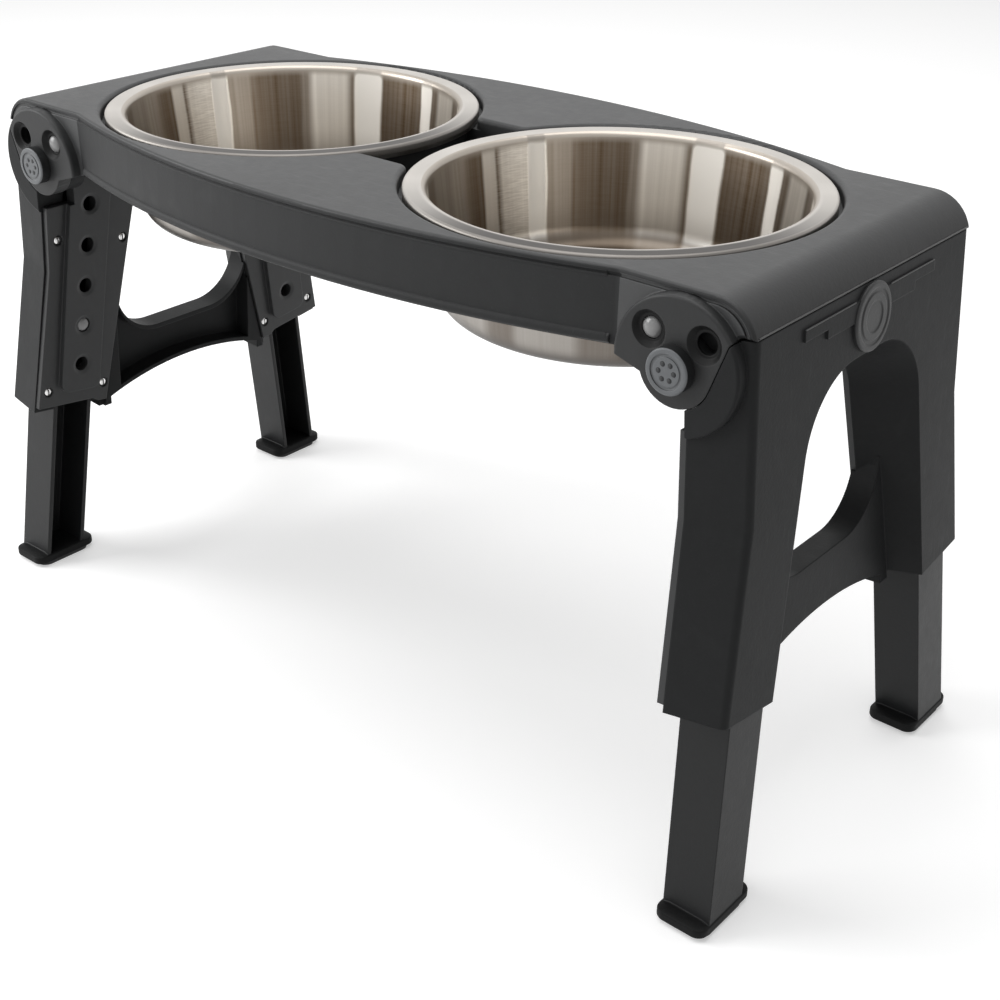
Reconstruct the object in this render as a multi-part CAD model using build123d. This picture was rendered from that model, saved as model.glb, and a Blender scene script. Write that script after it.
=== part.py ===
from build123d import *
import math
import os

# Raised feeder for two bowls, in millimetres. +X is the right end, -Y the front,
# +Z up. The origin is at the bottom centre, on the floor.
# One quarter is modelled at the right rear and mirrored to the other corners.

# Bowls: everything else is set out from them
BOWL_TOP_RADIUS = 100.0
BOWL_TAPER = 4.5
BOWL_CORNER = 14.0
BOWL_DEPTH = 66.0
STEEL = 1.0
RIM_WIDTH = 11.0
RIM_FLARE = 2.0           # bend between wall and rim
RIM_BEND = 1.6
RIM_BELOW_TOP = 0.2
RIM_SPACING = 19.5        # between the two rims
BOWL_BASE_RADIUS = BOWL_TOP_RADIUS - BOWL_TAPER
RIM_INNER = BOWL_TOP_RADIUS + RIM_FLARE
RIM_RADIUS = BOWL_TOP_RADIUS + RIM_WIDTH
BOWL_X = RIM_RADIUS + RIM_SPACING / 2

# Deck
DECK_TOP = 320.0          # top of the deck above the floor, legs in the fourth hole
SEAM_X = BOWL_X + RIM_RADIUS + 35.25    # half-length at the seam between deck and leg frame
DECK_SIDE = RIM_RADIUS - 9.0            # half-width beside the hubs
BOW_DEPTH = 30.0                        # bulge of the front and back skirts
BOW_HALF_LENGTH = SEAM_X - 72.0         # where the bowed skirt meets the flat hub plate
BOW_END_RADIUS = 9.0
WALL = 3.0
SKIRT_DEPTH = 36.5
SEAM_DROP = 16.0          # seam below the deck's top
END_ROLL = 22.0
EDGE_RADIUS = 2.0
EDGE_GROOVE = (2.4, 4.2)  # shadow groove under the deck's edge, from its top
GROOVE_DEPTH = 1.1
BEAD_RADIUS = 2.6
BEAD_PROUD = 1.6
RIB_DEPTH = 22.0

# Seats for the bowls
SEAT_CLEARANCE = 2.2      # between the rim and its recess
SEAT_EDGE = 2.8
LAND_LEFT = 0.05          # least flat between the rounded edges of a recess and the deck
RECESS_DEPTH = 7.0
WAIST_HALF = 48.0
WAIST_TIP_RADIUS = 8.0
WAIST_DEPTH = 20.0        # deep pocket between the bowls
BOWL_CLEARANCE = 3.5
SEAT_GAP = 0.3
COLLAR_DEPTH = 5.0

# Hub: hinge, ear and lock pin
HINGE_INSET = 35.6        # hinge axis inboard of the seam
HINGE_DROP = 35.7         # hinge axis below the deck's top
BOSS_RADIUS = 33.0
BOSS_PROUD = 5.8
BOSS_EDGE = 1.5
EAR_RADIUS = 19.0
EAR_SLOPE = 70.0          # the ear's outboard edge, degrees from level
EAR_CORNER = 5.0
FOLD_GAP = 0.5
LOBE_RADIUS = 28.5        # round the lock pin, above the hinge axis
LOBE_NECK_RADIUS = 18.5   # round the axle
LOBE_THICK = 11.0
LOBE_GAP = 0.4
AXLE_RADIUS = 5.0
AXLE_FIT = 0.05
AXLE_HEAD_RADIUS = 8.5
AXLE_HEAD = 2.8
HEAD_ROOM = 0.8
CAP_RADIUS = 11.0
CAP_PROUD = 6.3
CAP_SOCKET = 2.0
CAP_EDGE = 0.9
CAP_RIM = 2.7
CAP_FIELD_INSET = 4.0
CAP_FIELD_DEPTH = 0.2
CAP_GROOVE_DEPTH = 0.5
PIN_ORBIT = 20.4          # lock pin's distance from the hinge axis
PIN_ANGLE = 135.0
PIN_RADIUS = 4.7
PIN_OUT = 3.2             # travel outward, into the lock hole
PIN_HOLE_CLEARANCE = 0.5
PIN_TRACK_ROOM = 0.2
DISH_RADIUS = 8.9
DISH_FLOOR_RADIUS = 6.6
DISH_DEPTH = 2.5
SKIN = 1.2                # wall left round a lock hole
TIP_GAP = 0.3             # a pressed dome's tip below that wall
FLANGE = 2.0
FLANGE_RIM = 1.8
SLIDE_FIT = 0.05
STOP_GAP = 0.2

# Leg frame, drawn on its outer face, which leans outward at the foot
FRAME_LEAN = 4.35
FRAME_DEPTH = 31.5
# pairs give a size at the outer face and at the inner edge
TOP_HALF = (DECK_SIDE - 1.4, DECK_SIDE + 2.0)
WAIST_HALF_WIDTH = (DECK_SIDE + 0.4, DECK_SIDE + 6.0)
WAIST_DROP = 89.0
FOOT_HALF = (DECK_SIDE + 18.0, DECK_SIDE + 23.0)
FRAME_EDGE = 4.0
OPENING_TOP = (35.1, 49.7)
OPENING_TOP_HALF = (DECK_SIDE - 52.6, DECK_SIDE - 65.5)
OPENING_LOW_HALF = (DECK_SIDE - 22.9, DECK_SIDE - 30.5)
OPENING_LOW = 196.0
OPENING_CORNER = (44.0, 30.0)
CROSSBAR_TOP = 149.5
CROSSBAR_CORNER = 34.0
CROSSBAR_FACE = 19.0          # crossbar's face behind the frame's outer face
CROSSBAR_BACK = 34.0
CROSSBAR_LOW = 179.5
ARCH_END_LOW = 190.5
ARCH_HALF = DECK_SIDE - 36.0
MEDALLION_RADIUS = 17.0
MEDALLION_DROP = 17.8
MEDALLION_RINGS = ((16.0, 14.0), (11.5, 8.0))
BAR_DROP = 6.5
BAR_PROUD = 1.0
BAR_LONG = 62.0
BAR_SHORT = 42.0
BAR_LONG_DEPTH = 5.5
BAR_DEPTH = 10.0
BEAM_CELL = 32.0

# Legs: each leans out sideways in the frame's plane
LEG_LEAN = 8.2
LEG_TOP_Y = DECK_SIDE - 33.8  # leg axis at the seam
LEG_LOW = 189.5               # end of the outer leg along its axis
LEG_WIDTH = 29.6
LEG_WALL = 2.8
LEG_GAP = 0.35
LEG_FACE_GAP = 0.4
LEG_BACK_GAP = 0.5            # between the inner leg and its cover
CHANNEL_TOP = 30.0
HOLE_PITCH = 27.0
FIRST_HOLE = 49.5
HOLE_COUNT = 5
HOLE_IN_USE = 4
SIDE_POCKET = (110.0, 160.0)  # top and bottom of the hollow beside the leg's channel
LEG_ABOVE_BUTTON = 16.0
BRIDGE = 3.8
BRIDGE_LENGTH = 31.5

# Leg cover
COVER = 4.0
COVER_INSET = 1.2
COVER_TOP = 30.0
COVER_NOTCH_GAP = 0.8         # between the cover's notch and the hub lobe
COVER_NOTCH_TOP = 46.6
COVER_STEP = 2.5
COVER_STEP_HALF = 2.0
RIB_HALF = 15.0
RIB_PROUD = 4.0
RIB_LOW = 176.0
RIB_CORNER = 6.0
HOLE_DISH = 7.6
HOLE_DISH_DEPTH = 0.9
HOLE_LIP = 0.6
TRACK_CLEARANCE = 0.9
SCREWS = (
    (DECK_SIDE - 3.5, 69.0),
    (DECK_SIDE - 52.5, 79.0),
    (DECK_SIDE + 13.5, 170.0),
    (DECK_SIDE - 29.4, 177.0),
)
SCREW_HEAD_RADIUS = 2.7
SCREW_HEAD = 1.4
SCREW_RADIUS = 1.4
SCREW_LENGTH = 12.0
SCREW_FIT = 0.3
SCREW_SLOT = 0.8
SCREW_RECESS_RADIUS = 3.4
SCREW_RECESS = 1.6

# Leg button
BUTTON_RADIUS = 4.3
BUTTON_OUT = 2.4

# Leaf springs
LEAF = 0.8
LEAF_WIDTH = 8.0
LEAF_GAP = 0.1
LEAF_ANCHOR_ANGLE = 97.0      # where the lock pin's leaf is anchored in the lobe
LEAF_ANCHOR_ORBIT = 22.0
LEAF_TAIL = 5.0
LEAF_OVERRUN = 4.0
LEG_LEAF_WIDTH = 12.0
LEG_LEAF_START = 36.0         # ends and bends of the leg button's leaf, below the button
LEG_LEAF_BEND = 20.0
LEG_LEAF_TIP = 5.0

# Feet
FOOT_X = 29.5
FOOT_Y = 46.2
FOOT_HEIGHT = 12.0
FOOT_EDGE = 5.0
FOOT_TUCK = 3.6
FOOT_CORNER = 7.0
SOLE = 2.2
SOLE_INSET = 0.4

# Worked out from the sizes above
SEAM_Z = DECK_TOP - SEAM_DROP
SKIRT_LOW = DECK_TOP - SKIRT_DEPTH
ROLL_X = SEAM_X - math.sqrt(END_ROLL**2 - (END_ROLL - SEAM_DROP) ** 2)
END_X = ROLL_X + END_ROLL
BOW_RADIUS = (BOW_HALF_LENGTH**2 + BOW_DEPTH**2) / (2 * BOW_DEPTH)
BOW_CENTRE = DECK_SIDE + BOW_DEPTH - BOW_RADIUS
RECESS_RADIUS = RIM_RADIUS + SEAT_CLEARANCE
LAND = BOW_RADIUS - math.hypot(BOWL_X, BOW_CENTRE) - RECESS_RADIUS
SEAT_ROUND = min(SEAT_EDGE, LAND - EDGE_RADIUS - LAND_LEFT)
RECESS_FLOOR = DECK_TOP - RECESS_DEPTH
WAIST_FLOOR = DECK_TOP - WAIST_DEPTH
BOWL_HOLE = BOWL_TOP_RADIUS + BOWL_CLEARANCE
HINGE = Vector(SEAM_X - HINGE_INSET, 0, DECK_TOP - HINGE_DROP)
BOSS_FACE = DECK_SIDE + BOSS_PROUD
SIDE_INNER = DECK_SIDE - WALL
LOBE_OUTER = SIDE_INNER - LOBE_GAP
LOBE_INNER = LOBE_OUTER - LOBE_THICK
COVER_NOTCH_Y = LOBE_INNER - COVER_NOTCH_GAP
TRACK_END = BOSS_FACE - DISH_DEPTH - SKIN
PIN_TIP = TRACK_END - TIP_GAP
COVER_FACE = FRAME_DEPTH + COVER
RIB_FACE = COVER_FACE + RIB_PROUD
RIB_TRACK_END = RIB_FACE - HOLE_DISH_DEPTH - SKIN
BUTTON_TIP = RIB_TRACK_END - TIP_GAP
BUTTON_AT = FIRST_HOLE + (HOLE_IN_USE - 1) * HOLE_PITCH
CHANNEL_HALF = LEG_WIDTH / 2 + LEG_GAP
LEG_FACE = WALL + LEG_FACE_GAP
LEG_BACK = FRAME_DEPTH - LEG_BACK_GAP
LEG_START = BUTTON_AT - LEG_ABOVE_BUTTON
PIN_FLANGE_FACE = LOBE_INNER + 2 * FLANGE + STOP_GAP
BUTTON_FLANGE_FACE = LEG_BACK - BRIDGE - BUTTON_OUT - STOP_GAP
BEYOND = 10.0                 # how far cutting shapes run past what they cut

LEAN = math.radians(FRAME_LEAN)
SPLAY = math.radians(LEG_LEAN)
FRAME_PLANE = Plane(
    origin=(SEAM_X, 0, SEAM_Z),
    x_dir=(0, 1, 0),
    z_dir=(math.cos(LEAN), 0, math.sin(LEAN)),
)
LEG_PLANE = Plane(
    origin=FRAME_PLANE.from_local_coords((LEG_TOP_Y, 0, 0)),
    x_dir=(
        -math.sin(LEAN) * math.sin(SPLAY),
        math.cos(SPLAY),
        math.cos(LEAN) * math.sin(SPLAY),
    ),
    z_dir=(math.cos(LEAN), 0, math.sin(LEAN)),
)


def slab(plane, sketch, near, far):
    """A sketch on a plane, made solid from one depth behind the plane to another."""
    return extrude(plane.offset(-far) * sketch, amount=far - near, dir=plane.z_dir)


def across(sketch, y_from, y_to):
    """An X-Z sketch made solid from one Y to another."""
    plane = Plane(origin=(0, y_to, 0), x_dir=(1, 0, 0), z_dir=(0, -1, 0))
    return extrude(plane * sketch, amount=y_to - y_from, dir=plane.z_dir)


def level(sketch, z_from, z_to):
    """A plan sketch made solid from one height to another."""
    return extrude(Pos(0, 0, z_from) * sketch, amount=z_to - z_from, dir=(0, 0, 1))


def mid(pair, depth):
    """A size between the frame's outer face and its inner edge, at a depth."""
    return pair[0] + (pair[1] - pair[0]) * depth / FRAME_DEPTH


def both_sides(shape):
    """A shape and its mirror image across the length."""
    return shape + mirror(shape, about=Plane.XZ)


def hinge_disc(radius, y_from, y_to, angle=0.0, orbit=0.0):
    """A round solid along Y, on the hinge axis or at an orbit round it."""
    centre = orbit_point(angle, orbit, 0)
    return across(Pos(centre.X, centre.Z) * Circle(radius), y_from, y_to)


def leg_round(radius, along, near, far):
    """A round solid square to the frame's face, at a place along a leg."""
    return slab(LEG_PLANE, Pos(0, -along) * Circle(radius), near, far)


def orbit_point(angle, orbit, y):
    """A point at an angle and a distance round the hinge axis."""
    turn = math.radians(angle)
    return Vector(HINGE.X + orbit * math.cos(turn), y, HINGE.Z + orbit * math.sin(turn))


# Deck


def deck_plan(inset):
    """Plan outline: straight beside the hubs, bowed between them."""
    side = DECK_SIDE - inset
    radius = BOW_RADIUS - inset
    reach = math.sqrt(radius**2 - (side - BOW_CENTRE) ** 2)
    crown = radius + BOW_CENTRE
    rear = ThreePointArc((-reach, side), (0, crown), (reach, side))
    bow = make_face(rear + Line((reach, side), (-reach, side)))
    plan = Rectangle(2 * (END_X - inset), 2 * side) + bow
    plan += mirror(bow, about=Plane.XZ)
    ends = [v for v in plan.vertices() if abs(abs(v.X) - reach) < WALL]
    return fillet(ends, BOW_END_RADIUS + inset)


def end_profile(inset, low):
    """Side profile with the top rolled over at both ends."""
    height = DECK_TOP - inset - low
    outline = Pos(0, low + height / 2) * Rectangle(2 * (END_X - inset), height)
    corners = outline.vertices().group_by(Axis.Y)[-1]
    return fillet(corners, END_ROLL - inset)


def deck_side(gap):
    """Side outline of the deck: skirt, the ears round both hinges, and the seam."""
    radius = EAR_RADIUS + gap
    low = SKIRT_LOW - gap
    slope = math.radians(EAR_SLOPE)
    touch = (HINGE.X + radius * math.sin(slope), HINGE.Z - radius * math.cos(slope))
    rise = SEAM_Z - gap - touch[1]
    knee = (touch[0] + rise / math.tan(slope), SEAM_Z - gap)
    inboard = (HINGE.X - radius * math.sin(slope), HINGE.Z - radius * math.cos(slope))
    beyond = END_X + WALL
    above = DECK_TOP + WALL
    outline = Polygon(
        (0, low),
        (BOW_HALF_LENGTH, low),
        inboard,
        (HINGE.X, HINGE.Z),
        touch,
        knee,
        (beyond, SEAM_Z - gap),
        (beyond, above),
        (0, above),
        align=None,
    )
    outline += Pos(HINGE.X, HINGE.Z) * Circle(radius)
    knees = [v for v in outline.vertices() if abs(v.X - knee[0]) + abs(v.Y - knee[1]) < 1]
    outline = fillet(knees, EAR_CORNER)
    return outline + mirror(outline, about=Plane.YZ)


def seat_plan(grow):
    """Recess round both bowls, joined by a waist between them."""
    plan = Pos(BOWL_X, 0) * Circle(RECESS_RADIUS + grow)
    plan += Pos(-BOWL_X, 0) * Circle(RECESS_RADIUS + grow)
    half = BOWL_X - math.sqrt((RECESS_RADIUS + grow) ** 2 - (WAIST_HALF + grow) ** 2)
    plan += Rectangle(2 * half, 2 * (WAIST_HALF + grow))
    tips = [v for v in plan.vertices() if abs(v.X) < half + 1 and abs(v.Y) > WAIST_HALF - 1]
    return fillet(tips, WAIST_TIP_RADIUS)


def edge_bead():
    """Rolled bead along the foot of the rear skirt."""
    height = SKIRT_LOW + BEAD_RADIUS
    reach = BOW_HALF_LENGTH - BEAD_RADIUS
    radius = BOW_RADIUS + BEAD_PROUD - BEAD_RADIUS
    drop = math.sqrt(radius**2 - reach**2) + BOW_CENTRE
    path = ThreePointArc(
        (-reach, drop, height),
        (0, radius + BOW_CENTRE, height),
        (reach, drop, height),
    )
    section = Plane(origin=path @ 0, z_dir=path % 0) * Circle(BEAD_RADIUS)
    return sweep(section, path=path)


def edge_groove():
    """Shadow groove that follows the deck's edge a little below its top."""
    low = HINGE.Z - 2 * EAR_RADIUS
    reach = DECK_SIDE + BOW_DEPTH + WALL
    high_side, low_side = EDGE_GROOVE
    ring = across(end_profile(high_side, low), -reach, reach)
    ring -= across(end_profile(low_side, low), -reach, reach)
    return ring - level(deck_plan(GROOVE_DEPTH), low - 1, DECK_TOP)


def waist_plan(grow):
    """The pocket between the two bowl holes, clear of their collars."""
    plan = Rectangle(2 * BOWL_X, 2 * (WAIST_HALF + grow))
    for side in (-1, 1):
        plan -= Pos(side * BOWL_X, 0) * Circle(BOWL_HOLE + WALL - grow)
    return plan


def hub_boss():
    """Round boss on the rear side at the right hinge, with a softened edge."""
    disc = hinge_disc(BOSS_RADIUS, SIDE_INNER, BOSS_FACE)
    rim = disc.edges().group_by(Axis.Y)[-1]
    return fillet(rim, BOSS_EDGE)


def pin_track():
    """Room for the lock pin: a groove behind the boss between its two holes."""
    hole_radius = PIN_RADIUS + PIN_HOLE_CLEARANCE
    track_half = hole_radius + PIN_TRACK_ROOM
    inner = PIN_ORBIT - track_half
    outer = PIN_ORBIT + track_half
    ring = Circle(outer) - Circle(inner)
    wedge = Polygon((0, 0), (-2 * outer, 2 * outer), (2 * outer, 2 * outer), align=None)
    track = Pos(HINGE.X, HINGE.Z) * (ring & wedge)
    room = across(track, SIDE_INNER - 1, TRACK_END)
    for angle in (PIN_ANGLE, PIN_ANGLE - 90):
        room += hinge_disc(track_half, SIDE_INNER - 1, TRACK_END, angle, PIN_ORBIT)
        room += hinge_disc(hole_radius, TRACK_END - 1, BOSS_FACE + 1, angle, PIN_ORBIT)
        floor = Plane(orbit_point(angle, PIN_ORBIT, BOSS_FACE - DISH_DEPTH), z_dir=(0, 1, 0))
        mouth = Plane(orbit_point(angle, PIN_ORBIT, BOSS_FACE), z_dir=(0, 1, 0))
        room += loft([floor * Circle(DISH_FLOOR_RADIUS), mouth * Circle(DISH_RADIUS)])
    return room


def seat_brink(block):
    """The edges where the bowl recess meets the deck's top."""
    brink = []
    for edge in block.edges():
        box = edge.bounding_box()
        on_top = abs(box.min.Z - DECK_TOP) < 0.01 and abs(box.max.Z - DECK_TOP) < 0.01
        middle = edge @ 0.5
        from_bowl = math.hypot(abs(middle.X) - BOWL_X, middle.Y)
        if on_top and from_bowl < RECESS_RADIUS + 1:
            brink.append(edge)
    return brink


def build_deck():
    """One moulded shell: top, bowed skirts, bowl seats and four hub ears."""
    tall = DECK_TOP + WALL
    low = HINGE.Z - 2 * EAR_RADIUS
    reach = DECK_SIDE + BOW_DEPTH + WALL
    outer = level(deck_plan(0), low, DECK_TOP)
    outer &= across(end_profile(0, low), -reach, reach)
    outer &= across(deck_side(0), -reach, reach)
    brim = []
    for edge in outer.edges():
        box = edge.bounding_box()
        on_side = box.min.Y > DECK_SIDE - 0.1 or box.max.Y < 0.1 - DECK_SIDE
        if on_side and box.min.Z > SEAM_Z - 0.1:
            brim.append(edge)
    outer = fillet(brim, EDGE_RADIUS)
    inner = level(deck_plan(WALL), low - 1, DECK_TOP - WALL)
    inner &= across(end_profile(WALL, low - 1), -reach, reach)
    inner -= level(seat_plan(WALL), RECESS_FLOOR - WALL, DECK_TOP)
    outer -= level(seat_plan(0), RECESS_FLOOR, tall)
    outer = fillet(seat_brink(outer), SEAT_ROUND)
    shell = outer - inner
    shell += level(waist_plan(WALL), WAIST_FLOOR - WALL, RECESS_FLOOR)
    rib = Pos(0, 0, RECESS_FLOOR - WALL - RIB_DEPTH / 2)
    rib_length = 2 * (DECK_SIDE + BOW_DEPTH - WALL / 2)
    shell += rib * Box(WALL, rib_length, RIB_DEPTH)
    for side in (-1, 1):
        collar = Circle(BOWL_HOLE + WALL) - Circle(BOWL_HOLE)
        floor = RECESS_FLOOR - WALL
        shell += level(Pos(side * BOWL_X, 0) * collar, floor - COLLAR_DEPTH, floor)
    shell -= level(seat_plan(0), RECESS_FLOOR, tall)
    shell -= edge_groove()
    shell -= level(waist_plan(0), WAIST_FLOOR, tall)
    for side in (-1, 1):
        shell -= level(Pos(side * BOWL_X, 0) * Circle(BOWL_HOLE), low, tall)
    beads = both_sides(edge_bead())
    shell += beads
    boss = hub_boss() & across(deck_side(0), SIDE_INNER, BOSS_FACE)
    boss -= pin_track()
    hole = hinge_disc(AXLE_RADIUS + AXLE_FIT, SIDE_INNER - 1, BOSS_FACE + 1)
    cut = pin_track() + hole
    for side_x in (-1, 1):
        for side_y in (-1, 1):
            shell += corner(boss, side_x, side_y)
    for side_x in (-1, 1):
        for side_y in (-1, 1):
            shell -= corner(cut, side_x, side_y)
    return shell


# Bowls


def build_bowl(side):
    """Pressed steel bowl with a flat rim turned down at its edge."""
    base = DECK_TOP - BOWL_DEPTH
    rim = DECK_TOP - RIM_BELOW_TOP
    lip = RECESS_FLOOR + SEAT_GAP
    profile = Polygon(
        (0, base),
        (BOWL_BASE_RADIUS, base),
        (BOWL_TOP_RADIUS, rim - STEEL),
        (RIM_RADIUS - STEEL, rim - STEEL),
        (RIM_RADIUS - STEEL, lip),
        (RIM_RADIUS, lip),
        (RIM_RADIUS, rim),
        (BOWL_TOP_RADIUS - STEEL, rim),
        (BOWL_BASE_RADIUS - STEEL, base + STEEL),
        (0, base + STEEL),
        align=None,
    )
    bends = (
        (BOWL_BASE_RADIUS, base, BOWL_CORNER),
        (BOWL_BASE_RADIUS - STEEL, base + STEEL, BOWL_CORNER - STEEL),
        (BOWL_TOP_RADIUS - STEEL, rim, RIM_INNER - BOWL_TOP_RADIUS + STEEL),
        (BOWL_TOP_RADIUS, rim - STEEL, RIM_INNER - BOWL_TOP_RADIUS),
        (RIM_RADIUS, rim, RIM_BEND),
        (RIM_RADIUS - STEEL, rim - STEEL, RIM_BEND - STEEL),
    )
    for x, z, radius in bends:
        near = [v for v in profile.vertices() if abs(v.X - x) + abs(v.Y - z) < 0.01]
        profile = fillet(near, radius)
    bowl = revolve(Plane.XZ * profile, Axis.Z)
    return Pos(side * BOWL_X, 0, 0) * bowl


# Leg frame


def frame_outline(depth):
    """Outline of both outer legs and the beam between them, at a depth."""
    top = mid(TOP_HALF, depth)
    waist = mid(WAIST_HALF_WIDTH, depth)
    foot = mid(FOOT_HALF, depth)
    return Polygon(
        (-top, -FOLD_GAP),
        (top, -FOLD_GAP),
        (waist, -WAIST_DROP),
        (foot, leg_end(foot)),
        (0, leg_end(0)),
        (-foot, leg_end(foot)),
        (-waist, -WAIST_DROP),
        align=None,
    )


def leg_end(y):
    """Height of the outer leg's end on the frame's face, square to the leg."""
    axis_y = LEG_TOP_Y + LEG_LOW * math.sin(SPLAY)
    return -LEG_LOW * math.cos(SPLAY) + (y - axis_y) * math.tan(SPLAY)


def opening_half(depth, down):
    """Half-width of the opening between the legs, at a depth and a height."""
    top = mid(OPENING_TOP, depth)
    share = (down - top) / (OPENING_LOW - top)
    high_half = mid(OPENING_TOP_HALF, depth)
    return high_half + (mid(OPENING_LOW_HALF, depth) - high_half) * share


def opening_outline(depth, low, low_corner=0.0):
    """Outline of the opening between the legs, at a depth."""
    top = mid(OPENING_TOP, depth)
    high = opening_half(depth, top)
    wide = opening_half(depth, low)
    outline = Polygon((-wide, -low), (wide, -low), (high, -top), (-high, -top), align=None)
    corners = outline.vertices().group_by(Axis.Y)[-1]
    outline = fillet(corners, mid(OPENING_CORNER, depth))
    if low_corner:
        outline = fillet(outline.vertices().group_by(Axis.Y)[0], low_corner)
    return outline


def crossbar():
    """Recessed crossbar: a channel open to the inside, blended into the legs."""
    low = OPENING_LOW
    arch_low = low + BEYOND
    depth = CROSSBAR_FACE
    window = opening_outline(depth, CROSSBAR_TOP, CROSSBAR_CORNER)
    arch = make_face(
        ThreePointArc((-ARCH_HALF, -ARCH_END_LOW), (0, -CROSSBAR_LOW), (ARCH_HALF, -ARCH_END_LOW))
        + Polyline(
            (ARCH_HALF, -ARCH_END_LOW),
            (ARCH_HALF, -arch_low),
            (-ARCH_HALF, -arch_low),
            (-ARCH_HALF, -ARCH_END_LOW),
        )
    )
    reach = opening_half(depth, OPENING_LOW) + 1
    block = Pos(0, -(CROSSBAR_TOP + low) / 2 + CROSSBAR_CORNER / 2)
    outline = block * Rectangle(2 * reach, low - CROSSBAR_TOP + CROSSBAR_CORNER)
    outline -= window
    outline -= arch
    outline &= opening_outline(depth, arch_low)
    between_covers = outline & opening_outline(FRAME_DEPTH, arch_low)
    bar = slab(FRAME_PLANE, outline, CROSSBAR_FACE, FRAME_DEPTH)
    bar += slab(FRAME_PLANE, between_covers, FRAME_DEPTH - 1, CROSSBAR_BACK)
    hollow_half = opening_half(FRAME_DEPTH, CROSSBAR_TOP) - WALL
    hollow = Pos(0, -(CROSSBAR_TOP + low) / 2) * Rectangle(2 * hollow_half, 2 * low)
    hollow &= Pos(0, WALL) * outline
    hollow &= Pos(0, -WALL) * outline
    bar -= slab(FRAME_PLANE, hollow, CROSSBAR_FACE + WALL, CROSSBAR_BACK + 1)
    return bar


def medallion():
    """Round boss of plain rings, with a stepped bar beside it on each side."""
    centre = Pos(0, -MEDALLION_DROP)
    step = BAR_PROUD
    shape = slab(FRAME_PLANE, centre * Circle(MEDALLION_RADIUS), -step, 1)
    for outer, inner in MEDALLION_RINGS:
        ring = Circle(outer) - Circle(inner)
        shape += slab(FRAME_PLANE, centre * ring, -2 * step, 1)
    bar = Polygon(
        (0, -BAR_DROP),
        (BAR_LONG, -BAR_DROP),
        (BAR_LONG, -BAR_DROP - BAR_LONG_DEPTH),
        (BAR_SHORT, -BAR_DROP - BAR_LONG_DEPTH),
        (BAR_SHORT, -BAR_DROP - BAR_DEPTH),
        (0, -BAR_DROP - BAR_DEPTH),
        align=None,
    )
    return shape + both_sides(slab(FRAME_PLANE, bar, -step, 1))


def beam_pockets():
    """Hollows behind the top beam, with ribs left between them."""
    high = FOLD_GAP + WALL
    low = OPENING_TOP[0] - WALL
    pitch = BEAM_CELL + WALL
    cells = None
    for centre in (-pitch, 0, pitch):
        cell = Pos(centre, -(high + low) / 2) * Rectangle(BEAM_CELL, low - high)
        cells = cell if cells is None else cells + cell
    return slab(FRAME_PLANE, cells, WALL, FRAME_DEPTH + 1)


def side_pocket():
    """Hollow between the leg's channel and the outer side wall."""
    high, low = SIDE_POCKET

    def guide(down):
        along = down / math.cos(SPLAY)
        return LEG_TOP_Y + along * math.sin(SPLAY) + (CHANNEL_HALF + WALL) / math.cos(SPLAY)

    def side(down):
        foot_down = -leg_end(FOOT_HALF[0])
        share = (down - WAIST_DROP) / (foot_down - WAIST_DROP)
        return WAIST_HALF_WIDTH[0] + (FOOT_HALF[0] - WAIST_HALF_WIDTH[0]) * share - WALL

    outline = Polygon(
        (guide(high), -high),
        (side(high), -high),
        (side(low), -low),
        (guide(low), -low),
        align=None,
    )
    return slab(FRAME_PLANE, outline, WALL, FRAME_DEPTH + 1)


def frame_hub():
    """Hub lobe behind the deck's ear, with its bores for axle, pin and spring."""
    whole = hinge_disc(LOBE_RADIUS, LOBE_INNER, LOBE_OUTER)
    high = Pos(HINGE.X, HINGE.Z + LOBE_RADIUS) * Rectangle(4 * LOBE_RADIUS, 2 * LOBE_RADIUS)
    lobe = whole & across(high, LOBE_INNER, LOBE_OUTER)
    return lobe + hinge_disc(LOBE_NECK_RADIUS, LOBE_INNER, LOBE_OUTER)


def hub_cuts():
    """Bores in the hub lobe for the axle, the lock pin and its spring."""
    inner = LOBE_INNER - 1
    cut = hinge_disc(AXLE_RADIUS + AXLE_FIT, inner, LOBE_OUTER + 1)
    cut += hinge_disc(PIN_RADIUS + SLIDE_FIT, inner, LOBE_OUTER + 1, PIN_ANGLE, PIN_ORBIT)
    shelf = PIN_FLANGE_FACE + PIN_OUT + STOP_GAP
    cut += hinge_disc(PIN_RADIUS + FLANGE_RIM + SLIDE_FIT, inner, shelf, PIN_ANGLE, PIN_ORBIT)
    line = lock_leaf_line()
    reach = leaf_reach()
    slot = line * (Pos(3 * reach / 4, 0) * Rectangle(reach / 2, LEAF_WIDTH + 2 * STOP_GAP))
    cut += extrude(slot, amount=-(PIN_FLANGE_FACE - FLANGE - LOBE_INNER + 1))
    head = LOBE_INNER - LOBE_GAP - AXLE_HEAD
    cut += hinge_disc(AXLE_HEAD_RADIUS + HEAD_ROOM, head - HEAD_ROOM, LOBE_INNER)
    return cut


def leaf_reach():
    """Length of the lock pin's leaf from its anchor to the pin's axis."""
    anchor = orbit_point(LEAF_ANCHOR_ANGLE, LEAF_ANCHOR_ORBIT, 0)
    return (orbit_point(PIN_ANGLE, PIN_ORBIT, 0) - anchor).length


def lock_leaf_line():
    """Plane on the lobe's inner face, from the spring's anchor towards the pin."""
    start = orbit_point(LEAF_ANCHOR_ANGLE, LEAF_ANCHOR_ORBIT, LOBE_INNER)
    stop = orbit_point(PIN_ANGLE, PIN_ORBIT, LOBE_INNER)
    return Plane(origin=start, x_dir=stop - start, z_dir=(0, -1, 0))


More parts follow.
